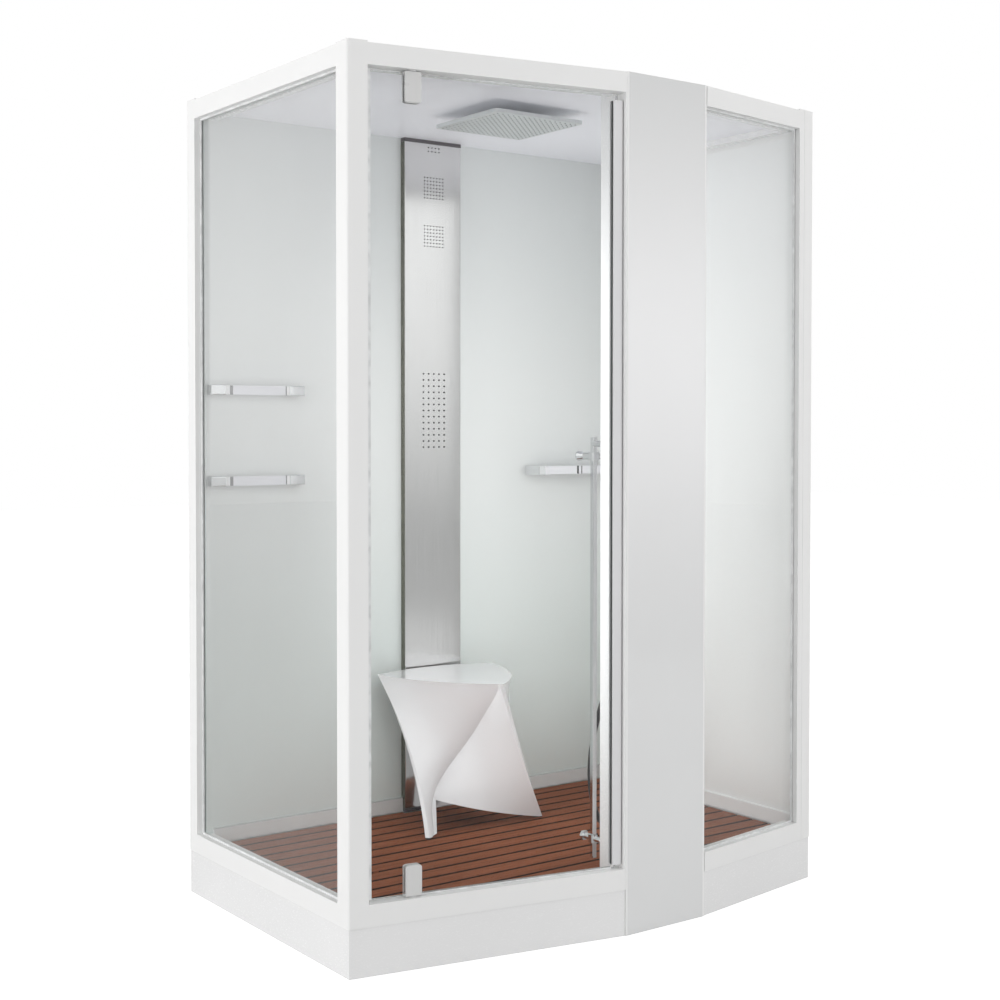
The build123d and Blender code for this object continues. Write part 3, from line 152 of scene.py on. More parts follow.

# %% [markdown]
# ### From the spline to the hose
#
# The same spline is drawn twice. Without thickness it gives the line that the hose follows, and with the
# hose's diameter it becomes the tube.

# %% The hose
guide = hose_curve("hose_guide", 0.0)
hose_line = curve_points(guide)
bpy.data.objects.remove(guide)

tube = hose_curve("hose_tube", hose_diameter)
hose_mesh = bpy.data.meshes.new_from_object(tube)
bpy.data.objects.remove(tube)
hose = bpy.data.objects.new("rubber_hose", hose_mesh)
bpy.context.scene.collection.objects.link(hose)
for polygon in hose.data.polygons:
    polygon.use_smooth = True

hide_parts("shower_hose")
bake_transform(hose)

# %% [markdown]
# ## Helpers for the pieces made here
#
# Each new piece starts from one of Blender's primitives. Everything is deselected first, because the CAD
# pieces are still selected after loading, and an operator would act on them too. A finished piece keeps its
# place in its mesh, so that its object sits at the origin like every CAD piece.

# %% Start and finish a piece
def start_clean():
    """Nothing selected, and object mode."""
    if bpy.context.object is not None and bpy.context.object.mode != "OBJECT":
        bpy.ops.object.mode_set(mode="OBJECT")
    bpy.ops.object.select_all(action="DESELECT")


def name_it(name):
    """Names the primitive that was just added and returns it."""
    piece = bpy.context.object
    piece.name = name
    piece.data.name = name
    return piece


def choose(piece):
    """Makes a piece the only selected and active one."""
    start_clean()
    piece.select_set(True)
    bpy.context.view_layer.objects.active = piece


def apply_modifiers(piece):
    """Makes the piece's modifiers part of its mesh."""
    choose(piece)
    for modifier in list(piece.modifiers):
        bpy.ops.object.modifier_apply(modifier=modifier.name)


def settle(piece, body):
    """Puts the piece's place into its mesh, then lets it ride on a body."""
    choose(piece)
    bpy.ops.object.transform_apply(location=True, rotation=True, scale=True)
    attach(piece, body)
    print(piece.name, len(piece.data.polygons), "faces on", body)
    return piece


# %% [markdown]
# ## The nozzles of the rain head
#
# The square rain head has soft nozzles all over its underside, in a plain grid of sixteen by sixteen.
# One nozzle is a short tapered tube, and its lower face is drawn in twice: once for the taper and once for
# the mouth. Two array modifiers copy it along and across the plate.

# %% Rain head nozzles
head_low, head_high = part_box("rain_head")
nozzle_rows = 16
margin_in_steps = 0.8
nozzle_step = (head_high.x - head_low.x) / (nozzle_rows + margin_in_steps)
nozzle_radius = 0.0014
nozzle_drop = 0.0012
nozzle_sides = 12
taper_width_share, taper_drop_share = 0.35, 0.35
mouth_width_share, mouth_depth_share = 0.25, 0.6
facing_down = -0.9


def repeat(piece, count, step):
    """Adds an array modifier with a constant step."""
    array = piece.modifiers.new("row", "ARRAY")
    array.count = count
    array.use_relative_offset = False
    array.use_constant_offset = True
    array.constant_offset_displace = step


def nozzle_field():
    """A square field of tapered nozzles, centred under the rain head."""
    middle = (head_low + head_high) / 2
    half_span = nozzle_step * (nozzle_rows - 1) / 2
    start_clean()
    bpy.ops.mesh.primitive_cylinder_add(
        vertices=nozzle_sides, radius=nozzle_radius, depth=nozzle_drop,
        location=(middle.x - half_span, middle.y - half_span, head_low.z - nozzle_drop / 2),
    )
    field = name_it("rain_nozzles")
    bpy.ops.object.mode_set(mode="EDIT")
    bpy.ops.mesh.select_all(action="DESELECT")
    shell = bmesh.from_edit_mesh(field.data)
    for face in shell.faces:
        face.select = face.normal.z < facing_down
    bmesh.update_edit_mesh(field.data)
    bpy.ops.mesh.inset(thickness=nozzle_radius * taper_width_share, depth=nozzle_drop * taper_drop_share)
    bpy.ops.mesh.inset(thickness=nozzle_radius * mouth_width_share, depth=-nozzle_drop * mouth_depth_share)
    bpy.ops.object.mode_set(mode="OBJECT")
    repeat(field, nozzle_rows, (nozzle_step, 0, 0))
    repeat(field, nozzle_rows, (0, nozzle_step, 0))
    apply_modifiers(field)
    return settle(field, "cabin")


rain_nozzles = nozzle_field()

# %% [markdown]
# ## The painted shadow beside the door's handle
#
# Where the door's glass goes into the handle profile, a thin dark bar paints the shadow in the gap between
# them. It is a bar that is as high as the profile, with its edges softened by a bevel.

# %% Handle shadow strip, a painted shadow
shadow_strip_width = 0.0026
shadow_strip_proud = 0.0018
shadow_strip_x = -0.0437
shadow_strip_face_y = -0.4745
shadow_strip_end_room = 0.001
shadow_strip_bevel = shadow_strip_width / 6
profile_low, profile_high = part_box("door_handle_profile")
shadow_strip_height = profile_high.z - profile_low.z - 2 * shadow_strip_end_room


def door_shadow_strip():
    """A dark bar on the front of the door's glass, against the handle profile: a painted shadow of the gap.
    """
    start_clean()
    bpy.ops.mesh.primitive_cube_add(
        size=1.0,
        location=(shadow_strip_x - shadow_strip_width / 2, shadow_strip_face_y, (profile_low.z + profile_high.z) / 2),
        scale=(shadow_strip_width, shadow_strip_proud * 2, shadow_strip_height),
    )
    bar = name_it("handle_shadow_strip")
    bpy.ops.object.transform_apply(location=False, rotation=False, scale=True)
    bpy.ops.object.mode_set(mode="EDIT")
    bpy.ops.mesh.select_all(action="SELECT")
    bpy.ops.mesh.bevel(offset=shadow_strip_bevel, segments=2)
    bpy.ops.object.mode_set(mode="OBJECT")
    return settle(bar, "door")


handle_shadow_strip = door_shadow_strip()

# %% [markdown]
# ## Finishes
#
# Each finish is a Principled shader. What is the same all over is set on the shader itself, and noise
# gives the small changes in colour, gloss and surface that a real finish has. The patterns read object
# coordinates, which are metres here, so a noise scale of 100 has features of about a centimetre.

# %% Start a finish and put it on
def new_finish(name, colour, roughness, metallic=0.0, specular=0.5):
    """A material with one Principled shader, returned with its tree and shader."""
    finish = bpy.data.materials.new(name)
    finish.use_nodes = True
    tree = finish.node_tree
    shader = tree.nodes["Principled BSDF"]
    shader.inputs["Base Color"].default_value = (*colour, 1.0)
    shader.inputs["Roughness"].default_value = roughness
    shader.inputs["Metallic"].default_value = metallic
    shader.inputs["Specular IOR Level"].default_value = specular
    return finish, tree, shader


def clear_coat(shader, weight, roughness):
    """A clear gloss layer over the finish."""
    shader.inputs["Coat Weight"].default_value = weight
    shader.inputs["Coat Roughness"].default_value = roughness


def cover(finish, *names):
    """Gives a finish to CAD nodes by name, or to pieces made here."""
    for name in names:
        piece = nodes[name] if isinstance(name, str) else name
        piece.data.materials.clear()
        piece.data.materials.append(finish)
    print(finish.name, "on", len(names), "pieces")


# %% [markdown]
# ### Places and noise
#
# A pattern needs to know where it is on the piece. The object coordinates give that as a vector, which can
# be stretched to draw grain out along a board, or as one number along an axis, for bands and slow changes.

# %% Places and noise
def place_in(tree, stretch=(1.0, 1.0, 1.0)):
    """Object coordinates, stretched as asked."""
    coordinates = tree.nodes.new("ShaderNodeTexCoord")
    mapping = tree.nodes.new("ShaderNodeMapping")
    mapping.inputs["Scale"].default_value = stretch
    tree.links.new(coordinates.outputs["Object"], mapping.inputs["Vector"])
    return mapping.outputs["Vector"]


def along(tree, axis):
    """The object coordinate along X, Y or Z."""
    coordinates = tree.nodes.new("ShaderNodeTexCoord")
    split = tree.nodes.new("ShaderNodeSeparateXYZ")
    tree.links.new(coordinates.outputs["Object"], split.inputs["Vector"])
    return split.outputs[axis]


def noise_in(tree, place, scale, detail=3.0, distortion=0.0):
    """Soft noise at a place, from 0 to 1."""
    noise = tree.nodes.new("ShaderNodeTexNoise")
    noise.inputs["Scale"].default_value = scale
    noise.inputs["Detail"].default_value = detail
    noise.inputs["Distortion"].default_value = distortion
    tree.links.new(place, noise.inputs["Vector"])
    return noise.outputs["Fac"]


def calculate(tree, operation, *values):
    """A Math node: its operation, and its inputs in order, each a number or a socket."""
    node = tree.nodes.new("ShaderNodeMath")
    node.operation = operation
    for socket, value in zip(node.inputs, values):
        if isinstance(value, bpy.types.NodeSocket):
            tree.links.new(value, socket)
        else:
            socket.default_value = value
    return node.outputs["Value"]


def between(tree, value, low, high, start=0.3, end=0.7):
    """Moves a 0 to 1 value to the range from low to high."""
    spread = tree.nodes.new("ShaderNodeMapRange")
    spread.inputs["From Min"].default_value = start
    spread.inputs["From Max"].default_value = end
    spread.inputs["To Min"].default_value = low
    spread.inputs["To Max"].default_value = high
    tree.links.new(value, spread.inputs["Value"])
    return spread.outputs["Result"]


# %% [markdown]
# ### Colour and surface
#
# Real finishes hardly ever hold one colour. A second colour that is a little darker is mixed in where the
# noise is high, and the same noise can lift the surface by a fraction of a millimetre.

# %% Colour and surface
def darkened(colour, share):
    """The same colour at a share of its brightness."""
    return tuple(part * share for part in colour)


def mix_colours(tree, value, first, second):
    """Goes from the first colour to the second as value goes from 0 to 1. A colour may be a socket."""
    mix = tree.nodes.new("ShaderNodeMix")
    mix.data_type = "RGBA"
    tree.links.new(value, mix.inputs["Factor"])
    for socket, colour in ((mix.inputs["A"], first), (mix.inputs["B"], second)):
        if isinstance(colour, bpy.types.NodeSocket):
            tree.links.new(colour, socket)
        else:
            socket.default_value = (*colour, 1.0)
    return mix.outputs["Result"]


def ripple(tree, shader, height, strength, distance):
    """Lets a height value move the shader's surface a little."""
    bump = tree.nodes.new("ShaderNodeBump")
    bump.inputs["Strength"].default_value = strength
    bump.inputs["Distance"].default_value = distance
    tree.links.new(height, bump.inputs["Height"])
    tree.links.new(bump.outputs["Normal"], shader.inputs["Normal"])


# %% [markdown]
# ### White painted aluminium
#
# The frame is extruded aluminium with a smooth white paint. Paint is never quite flat, so a fine noise
# gives it a slight orange peel, and a broad one makes its gloss a little uneven.

# %% Frame paint
peel_scale, peel_strength, peel_depth = 900.0, 0.06, 0.0004
gloss_spread = 0.01


def painted_white(name, colour, roughness):
    """Sprayed paint: even colour, slightly uneven gloss, and a fine orange peel."""
    finish, tree, shader = new_finish(name, colour, roughness)
    place = place_in(tree)
    shade = between(tree, noise_in(tree, place, 3.0), 0.0, 1.0)
    tint = mix_colours(tree, shade, colour, darkened(colour, 0.985))
    tree.links.new(tint, shader.inputs["Base Color"])
    cloud = noise_in(tree, place, 12.0, 1.0)
    gloss = between(tree, cloud, roughness - gloss_spread, roughness + gloss_spread)
    tree.links.new(gloss, shader.inputs["Roughness"])
    ripple(tree, shader, noise_in(tree, place, peel_scale, 2.0), peel_strength, peel_depth)
    return finish


frame_paint = painted_white("frame_paint", (0.85, 0.85, 0.845), 0.36)
cover(
    frame_paint, "front_left_post", "front_right_post", "rear_posts", "left_top_rail", "left_bottom_rail",
    "door_header", "door_sill", "right_front_header", "right_front_bottom_rail", "wall_top_rails",
    "wall_bottom_rails", "strike_profile", "column_edge_trims",
)
handle_paint = painted_white("handle_paint", (0.72, 0.72, 0.73), 0.30)
hinge_paint = painted_white("hinge_paint", (0.67, 0.67, 0.665), 0.28)
cover(handle_paint, "door_handle_profile")
cover(hinge_paint, "door_hinge_blocks")

# %% [markdown]
# ### Moulded acrylic and plastic
#
# The tray and the stool are moulded, with a high gloss and very slow waves in the surface, which bend the
# reflections a little. The hidden plastic parts have a duller skin.

# %% Acrylic and plastic
scuff_scale, scuff_dulling = 140.0, 0.06
wave_scale, wave_depth = 9.0, 0.002


def moulded(name, colour, roughness, wave=0.10):
    """Moulded gloss plastic: slow waves, a few fine scuffs in the gloss, and a clear top."""
    finish, tree, shader = new_finish(name, colour, roughness)
    place = place_in(tree)
    shade = between(tree, noise_in(tree, place, 5.0), 0.0, 1.0)
    tint = mix_colours(tree, shade, colour, darkened(colour, 0.98))
    tree.links.new(tint, shader.inputs["Base Color"])
    scuffs = noise_in(tree, place_in(tree, (1.0, 1.0, 3.0)), scuff_scale, 5.0, 0.4)
    gloss = between(tree, scuffs, roughness, roughness + scuff_dulling, 0.45, 0.75)
    tree.links.new(gloss, shader.inputs["Roughness"])
    clear_coat(shader, 0.4, 0.04)
    ripple(tree, shader, noise_in(tree, place, wave_scale, 1.0), wave, wave_depth)
    return finish


tray_acrylic = moulded("tray_acrylic", (0.84, 0.84, 0.84), 0.24)
stool_acrylic = moulded("stool_acrylic", (0.80, 0.80, 0.815), 0.10, 0.02)
white_plastic = moulded("white_plastic", (0.82, 0.82, 0.825), 0.25)
cover(tray_acrylic, "shower_tray")
cover(stool_acrylic, "stool_shell")
cover(white_plastic, "column_housing", "hinge_bushes", "drain_trap", "ceiling_cornice")

# %% [markdown]
# ### Glass
#
# Clear safety glass of 8 mm is nearly invisible from the front. The shader is real refracting glass, and a
# see-through shader takes its place for light from the lamps, so that the inside of the cabin is lit as it
# is in reality. The door's glass bends light less than plain glass does, because the real one shows hardly
# any reflection. The left pane and the right front pane face the bright ends of the room and show a pale
# veil, so they have a stronger reflection.

# %% Clear glass
front_ior, end_ior, slanting_ior = 1.26, 1.52, 1.42
pane_tint = (0.985, 0.993, 0.990)
lamp_tint = (0.97, 0.975, 0.973)
pane_gloss_level = 0.12


def clear_pane(name, ior):
    """Polished glass with the faintest smears, which lets the lamps shine in."""
    finish, tree, shader = new_finish(name, pane_tint, 0.0, specular=pane_gloss_level)
    shader.inputs["Transmission Weight"].default_value = 1.0
    shader.inputs["IOR"].default_value = ior
    smears = noise_in(tree, place_in(tree, (1.0, 1.0, 0.3)), 6.0, 6.0, 1.0)
    smeared = between(tree, smears, 0.0, 1.0, 0.5, 0.8)
    tint = mix_colours(tree, smeared, pane_tint, darkened(pane_tint, 0.985))
    tree.links.new(tint, shader.inputs["Base Color"])
    open_way = tree.nodes.new("ShaderNodeBsdfTransparent")
    open_way.inputs["Color"].default_value = (*lamp_tint, 1.0)
    path = tree.nodes.new("ShaderNodeLightPath")
    mix = tree.nodes.new("ShaderNodeMixShader")
    tree.links.new(path.outputs["Is Shadow Ray"], mix.inputs["Fac"])
    tree.links.new(shader.outputs["BSDF"], mix.inputs[1])
    tree.links.new(open_way.outputs["BSDF"], mix.inputs[2])
    tree.links.new(mix.outputs["Shader"], tree.nodes["Material Output"].inputs["Surface"])
    return finish


cover(clear_pane("pane_glass", front_ior), "door_glass")
cover(clear_pane("end_pane_glass", end_ior), "left_glass")
cover(clear_pane("slanting_pane_glass", slanting_ior), "right_front_glass")

# %% [markdown]
# ### Back-painted glass and the closed walls
#
# The column in front is a strip of glass with light grey paint behind it, under a deep gloss. Its colour is
# lightest a little above the middle and darker towards the foot and the top: a painted reflection of a soft
# light. The closed walls and the ceiling are smooth boards in pale tones. Their colour drifts slowly with
# the height, from one tone at the foot over a second at the middle to a third at the top. On the walls this
# is painted shade towards the top and the foot, and the right wall is painted lighter than the rear wall as
# painted light.

# %% Column glass and wall boards
def painted_light_by_height(tree, low, middle, high, centre, reach):
    """A colour that goes from low at the foot over middle at the centre to high at the top, to paint light
    and shade over the height.
    """
    height = along(tree, "Z")
    rising = between(tree, height, 0.0, 1.0, centre - reach, centre)
    falling = between(tree, height, 0.0, 1.0, centre, centre + reach)
    for node in (rising.node, falling.node):
        node.interpolation_type = "SMOOTHSTEP"
    return mix_colours(tree, falling, mix_colours(tree, rising, low, middle), high)


def gloss_board(name, colours, centre, reach, roughness, coat, wave=0.03):
    """A smooth board whose colour drifts slowly over its height as painted light, with as much clear coat as
    is asked.
    """
    finish, tree, shader = new_finish(name, colours[1], roughness)
    drift = painted_light_by_height(tree, *colours, centre, reach)
    clouds = between(tree, noise_in(tree, place_in(tree, (1.0, 1.0, 0.5)), 1.6, 2.0), 0.0, 0.12)
    tree.links.new(mix_colours(tree, clouds, drift, colours[0]), shader.inputs["Base Color"])
    grain = noise_in(tree, place_in(tree), 14.0, 2.0)
    tree.links.new(between(tree, grain, roughness, roughness + 0.02), shader.inputs["Roughness"])
    clear_coat(shader, coat, 0.03)
    ripple(tree, shader, noise_in(tree, place_in(tree), 2.5, 1.0), wave, 0.002)
    return finish


# The column's tones paint the reflection of a soft light: lightest a little above the middle.
column_painted_reflection_tones = ((0.76, 0.765, 0.765), (0.91, 0.91, 0.915), (0.66, 0.665, 0.665))
# The walls' tones paint shade towards the top and the foot, and the right wall's lighter tones are painted
# light.
rear_painted_shade_tones = ((0.725, 0.78, 0.76), (0.77, 0.785, 0.78), (0.71, 0.73, 0.73))
right_painted_light_tones = ((0.83, 0.84, 0.835), (0.87, 0.88, 0.875), (0.84, 0.85, 0.85))
ceiling_tones = ((0.80, 0.80, 0.86), (0.92, 0.92, 0.97), (0.92, 0.92, 0.97))
column_glass = gloss_board("column_glass", column_painted_reflection_tones, 1.45, 0.85, 0.14, 0.6)
rear_board = gloss_board("rear_board", rear_painted_shade_tones, 1.25, 0.9, 0.42, 0.0)
right_board = gloss_board("right_board", right_painted_light_tones, 1.25, 0.9, 0.42, 0.0)
ceiling_board = gloss_board("ceiling_board", ceiling_tones, 1.0, 1.0, 0.34, 0.0, 0.002)
cover(column_glass, "column_front_panel")
cover(rear_board, "rear_wall_panels")
cover(right_board, "right_wall_panel")
cover(ceiling_board, "ceiling_panel")

# %% [markdown]
# ### The skirting
#
# The right wall stands on a white skirting, while the one along the rear wall has the wall's own colour and
# can hardly be seen. The rear skirting's bevelled top edge gets painted shade, so that it doesn't show as a
# lit line. Both are one CAD piece, so the finish tells them apart by their place along X.

# %% Skirting
skirting_depth = 0.0085
half_way_up = 1.0
trims_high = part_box("wall_trims")[1]
heights = [corner.co.z for corner in nodes["wall_trims"].data.vertices]
skirting_top = max(height for height in heights if height < half_way_up)
bevel_start, bevel_end = skirting_top - 0.0030, skirting_top - 0.0015
skirting_white, bevel_painted_shade = (0.82, 0.82, 0.82), (0.44, 0.45, 0.445)


def skirting_finish():
    """White on the right wall, and the wall's own grey green along the rear wall, with painted shade on its
    bevelled top edge.
    """
    finish, tree, shader = new_finish("wall_skirting", skirting_white, 0.40)
    right_start = trims_high.x - skirting_depth
    right = calculate(tree, "GREATER_THAN", along(tree, "X"), right_start)
    clouds = between(tree, noise_in(tree, place_in(tree), 3.0, 2.0), 0.0, 0.15)
    rear = mix_colours(tree, clouds, (0.74, 0.755, 0.75), (0.71, 0.73, 0.725))
    # Painted shade on the rear skirting's top edge, so that it doesn't show as a lit line.
    bevel = between(tree, along(tree, "Z"), 0.0, 1.0, bevel_start, bevel_end)
    rear_with_painted_shade = mix_colours(tree, bevel, rear, bevel_painted_shade)
    tint = mix_colours(tree, right, rear_with_painted_shade, skirting_white)
    tree.links.new(tint, shader.inputs["Base Color"])
    return finish


cover(skirting_finish(), "wall_trims")

# %% [markdown]
# ### Oiled teak
#
# The deck boards run from left to right. Wood grain is noise that is stretched along the board, and each
# board gets its own shade from a random number that belongs to its row. The deck was cut from different
# planks, and the rows show it. Beside each gap the wood goes dark, because the gap's edge is in its shadow.

# %% Teak
board_pitch = 0.0614
first_gap_y = -0.4887
gap_edge_share, gap_blend_share = 0.095, 0.012
grain_dark, grain_warm = (0.170, 0.056, 0.024), (0.360, 0.128, 0.066)
row_tone, pore_tone = (0.225, 0.078, 0.036), (0.06, 0.02, 0.012)
gap_tone = (0.010, 0.005, 0.004)


def teak_wood():
    """Reddish brown wood: grain along the board, one shade for each row, and a dull oiled surface."""
    finish, tree, shader = new_finish("teak_wood", (0.27, 0.09, 0.04), 0.60, specular=0.012)
    from_gap = calculate(tree, "SUBTRACT", along(tree, "Y"), first_gap_y)
    row = calculate(tree, "DIVIDE", from_gap, board_pitch)
    whole = calculate(tree, "FLOOR", row)
    chance = tree.nodes.new("ShaderNodeTexWhiteNoise")
    chance.noise_dimensions = "1D"
    tree.links.new(whole, chance.inputs["W"])
    grain = noise_in(tree, place_in(tree, (1.2, 40.0, 40.0)), 6.0, 8.0, 0.6)
    pores = noise_in(tree, place_in(tree, (6.0, 160.0, 160.0)), 8.0, 6.0)
    body = mix_colours(tree, between(tree, grain, 0.0, 1.0, 0.35, 0.65), grain_dark, grain_warm)
    shade = between(tree, chance.outputs["Value"], 0.0, 0.45, 0.0, 1.0)
    rows = mix_colours(tree, shade, body, row_tone)
    fine = mix_colours(tree, between(tree, pores, 0.0, 0.35, 0.55, 0.75), rows, pore_tone)
    part = calculate(tree, "FRACT", row)
    from_middle = calculate(tree, "SUBTRACT", part, 0.5)
    distance = calculate(tree, "ABSOLUTE", from_middle)
    edge_start = 0.5 - gap_edge_share
    edge = between(tree, distance, 0.0, 1.0, edge_start, edge_start + gap_blend_share)
    tree.links.new(mix_colours(tree, edge, fine, gap_tone), shader.inputs["Base Color"])
    tree.links.new(between(tree, grain, 0.52, 0.68), shader.inputs["Roughness"])
    ripple(tree, shader, pores, 0.25, 0.0006)
    return finish


teak = teak_wood()
cover(teak, "deck_boards", "deck_bearers")

# %% [markdown]
# ### Metals
#
# Chrome is a mirror with almost no texture. The steel column is polished too, but its vertical polishing
# marks smear what it mirrors. The frame under the tray is zinc coated, and the pipes are brass.

# %% Metals
def polished(name, colour, roughness, marks, bump):
    """Polished metal with fine marks that run up and down."""
    finish, tree, shader = new_finish(name, colour, roughness, metallic=1.0)
    lines = noise_in(tree, place_in(tree, (marks, marks, 2.0)), 2.0, 4.0)
    tree.links.new(between(tree, lines, roughness, roughness * 2 + 0.02), shader.inputs["Roughness"])
    ripple(tree, shader, lines, bump, 0.0002)
    return finish


chrome = polished("chrome_plate", (0.80, 0.81, 0.82), 0.05, 60.0, 0.02)
column_steel = polished("column_steel", (0.74, 0.735, 0.735), 0.09, 220.0, 0.02)
head_steel = polished("head_steel", (0.80, 0.82, 0.82), 0.34, 120.0, 0.02)
zinc = polished("zinc", (0.50, 0.52, 0.54), 0.42, 15.0, 0.15)
brass = polished("pipe_brass", (0.66, 0.50, 0.24), 0.26, 40.0, 0.05)
cover(
    chrome, "drain_flange", "drain_cover", "door_hinge_pins", "mixer_body", "temperature_knob",
    "diverter_knob", "rain_head_arm", "towel_bar_ends", "shelf_ends", "hand_shower_rail",
    "rail_brackets", "rail_slider", "slider_knob", "handset", "hose_elbow",
)
cover(head_steel, "rain_head")
cover(zinc, "tray_support_frame", "levelling_feet")
cover(brass, "supply_pipes")

# %% [markdown]
# ### The painted reflection on the side fold of the steel column
#
# The column is a folded sheet. Its narrow left side stands across the rear wall and only ever mirrors the
# dark corner beside it. The finish paints that dark reflection on the side, by its place along X.

# %% Painted reflection on the side fold of the steel column
steel_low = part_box("steel_column")[0]
side_blend = 0.0012


def paint_side_reflection(finish, edge_x, colour):
    """The fold beside the wall only ever mirrors the dark corner, so that reflection is painted on it as a
    dark tone.
    """
    tree = finish.node_tree
    shader = tree.nodes["Principled BSDF"]
    polish = tuple(shader.inputs["Base Color"].default_value)[:3]
    side = between(tree, along(tree, "X"), 1.0, 0.0, edge_x, edge_x + side_blend)
    tree.links.new(mix_colours(tree, side, polish, colour), shader.inputs["Base Color"])


# The dark tone is a painted reflection of the dark corner beside the column.
paint_side_reflection(column_steel, steel_low.x, (0.20, 0.20, 0.165))
cover(column_steel, "steel_column")

# %% [markdown]
# ### The bars between the chrome blocks
#
# The towel bars and the rail of the shelf are polished white bars with a dark groove near each end, where
# the bar slides into its block. The grooves are bands along the length of the bar.

# %% Polished bars with dark grooves
def banded_bar(name, colour, bands):
    """A polished light bar with dark and bright bands at places along X, in metres."""
    finish, tree, shader = new_finish(name, colour, 0.14, specular=0.6)
    place = along(tree, "X")
    drift = noise_in(tree, place_in(tree, (8.0, 60.0, 60.0)), 3.0, 3.0)
    result = mix_colours(tree, between(tree, drift, 0.0, 1.0), colour, darkened(colour, 0.95))
    for start, end, shade in bands:
        after = calculate(tree, "GREATER_THAN", place, start)
        before = calculate(tree, "LESS_THAN", place, end)
        inside = calculate(tree, "MULTIPLY", after, before)
        result = mix_colours(tree, inside, result, shade)
    tree.links.new(result, shader.inputs["Base Color"])
    tree.links.new(between(tree, drift, 0.10, 0.20), shader.inputs["Roughness"])
    clear_coat(shader, 0.5, 0.03)
    return finish


groove, bright, black = (0.20, 0.20, 0.21), (0.88, 0.88, 0.89), (0.02, 0.02, 0.02)
bar_low, bar_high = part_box("towel_bar_grips")
towel_bar = banded_bar("towel_bar", (0.80, 0.80, 0.84), (
    (bar_low.x, bar_low.x + 0.011, bright),
    (bar_low.x + 0.011, bar_low.x + 0.020, groove),
    (bar_high.x - 0.013, bar_high.x - 0.009, groove),
    (bar_high.x - 0.009, bar_high.x, bright),
))
shelf_block_width = 0.026
shelf_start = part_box("shelf_ends")[0].x + shelf_block_width
shelf_bar = banded_bar("shelf_bar", (0.82, 0.82, 0.85), (
    (shelf_start + 0.126, shelf_start + 0.133, black),
    (shelf_start + 0.142, shelf_start + 0.147, groove),
))
cover(towel_bar, "towel_bar_grips")
cover(shelf_bar, "bottle_shelf")

# %% [markdown]
# ### Rubber, seals and dark trims
#
# The hose, the nozzles, the jets and the pads are rubber, which is dark, dull and finely grained. The seals
# of the panes are a pale vinyl. One helper makes them all, with its own colour and grain for each.

# %% Rubber and trims
speck_gain, speck_lift = 1.3, 0.01


def soft_skin(name, colour, roughness, grain, bump=0.15):
    """Rubber or soft plastic: a dull skin with a fine grain."""
    finish, tree, shader = new_finish(name, colour, roughness)
    place = place_in(tree)
    speck = noise_in(tree, place, grain, 4.0)
    lighter = tuple(part * speck_gain + speck_lift for part in colour)
    tint = mix_colours(tree, between(tree, speck, 0.0, 1.0), colour, lighter)
    tree.links.new(tint, shader.inputs["Base Color"])
    tree.links.new(between(tree, speck, roughness - 0.06, roughness + 0.08), shader.inputs["Roughness"])
    if bump > 0:
        ripple(tree, shader, speck, bump, 0.0003)
    return finish


hose_rubber = soft_skin("hose_rubber", (0.012, 0.012, 0.013), 0.34, 400.0)
nozzle_rubber = soft_skin("nozzle_rubber", (0.045, 0.05, 0.05), 0.45, 600.0)
# The dark rubber skin of the strip that paints the shadow beside the door's handle.
shadow_strip_rubber = soft_skin("shadow_strip_rubber", (0.055, 0.06, 0.06), 0.5, 300.0)
jet_rubber = soft_skin("jet_rubber", (0.022, 0.022, 0.024), 0.5, 600.0)
dark_band = soft_skin("dark_band", (0.060, 0.052, 0.058), 0.38, 300.0)
pad_rubber = soft_skin("pad_rubber", (0.03, 0.03, 0.03), 0.6, 300.0)
seal_vinyl = soft_skin("seal_vinyl", (0.66, 0.67, 0.67), 0.35, 40.0, 0.0)
cover(hose_rubber, hose)
cover(nozzle_rubber, rain_nozzles)
cover(shadow_strip_rubber, handle_shadow_strip)
cover(jet_rubber, "body_jets")
cover(dark_band, "steel_column_trims")
cover(pad_rubber, "deck_pads", "stool_foot_pads")
cover(seal_vinyl, "pane_seals", "door_seals")

# %% [markdown]
# ## Smooth shading
#
# The CAD pieces arrive as flat facets. Shading by angle makes the round faces look round and keeps the
# edges of the profiles crisp.

# %% Smooth shading by angle
smooth_angle_deg = 30.0


def shade_by_angle(piece):
    """Smooth within the angle, sharp beyond it."""
    choose(piece)
    bpy.ops.object.shade_smooth_by_angle(angle=math.radians(smooth_angle_deg))


round_pieces = (
    "stool_shell", "handset", "hand_shower_rail", "rail_brackets", "rail_slider", "slider_knob",
    "mixer_body", "temperature_knob", "diverter_knob", "hose_elbow", "supply_pipes", "rain_head",
    "rain_head_arm", "towel_bar_ends", "towel_bar_grips", "shelf_ends", "bottle_shelf", "drain_cover",
    "drain_flange", "drain_trap", "shower_tray", "door_hinge_blocks", "levelling_feet", "deck_boards",
    "door_handle_profile",
)
for name in round_pieces:
    shade_by_angle(nodes[name])
start_clean()
print("smoothed", len(round_pieces), "pieces")

# %% [markdown]
# ## The studio
#
# The cabin stands on a plain white floor in a white room. The world gives most of the light, and soft lamps
# give the forms a little direction. A floor that is only lit would look grey, so it glows a little where it
# is looked at directly. It stays white to the eye, and the cabin's soft shadow is still drawn on it.

# %% Floor
def seen_directly(tree):
    """1 where the camera looks at the surroundings, also through glass, and 0 in mirrors and for light."""
    path = tree.nodes.new("ShaderNodeLightPath").outputs
    eye = calculate(tree, "MAXIMUM", path["Is Camera Ray"], path["Is Transmission Ray"])
    bounces = calculate(tree, "ADD", path["Glossy Depth"], path["Diffuse Depth"])
    first = calculate(tree, "LESS_THAN", bounces, 0.5)
    return calculate(tree, "MULTIPLY", eye, first)


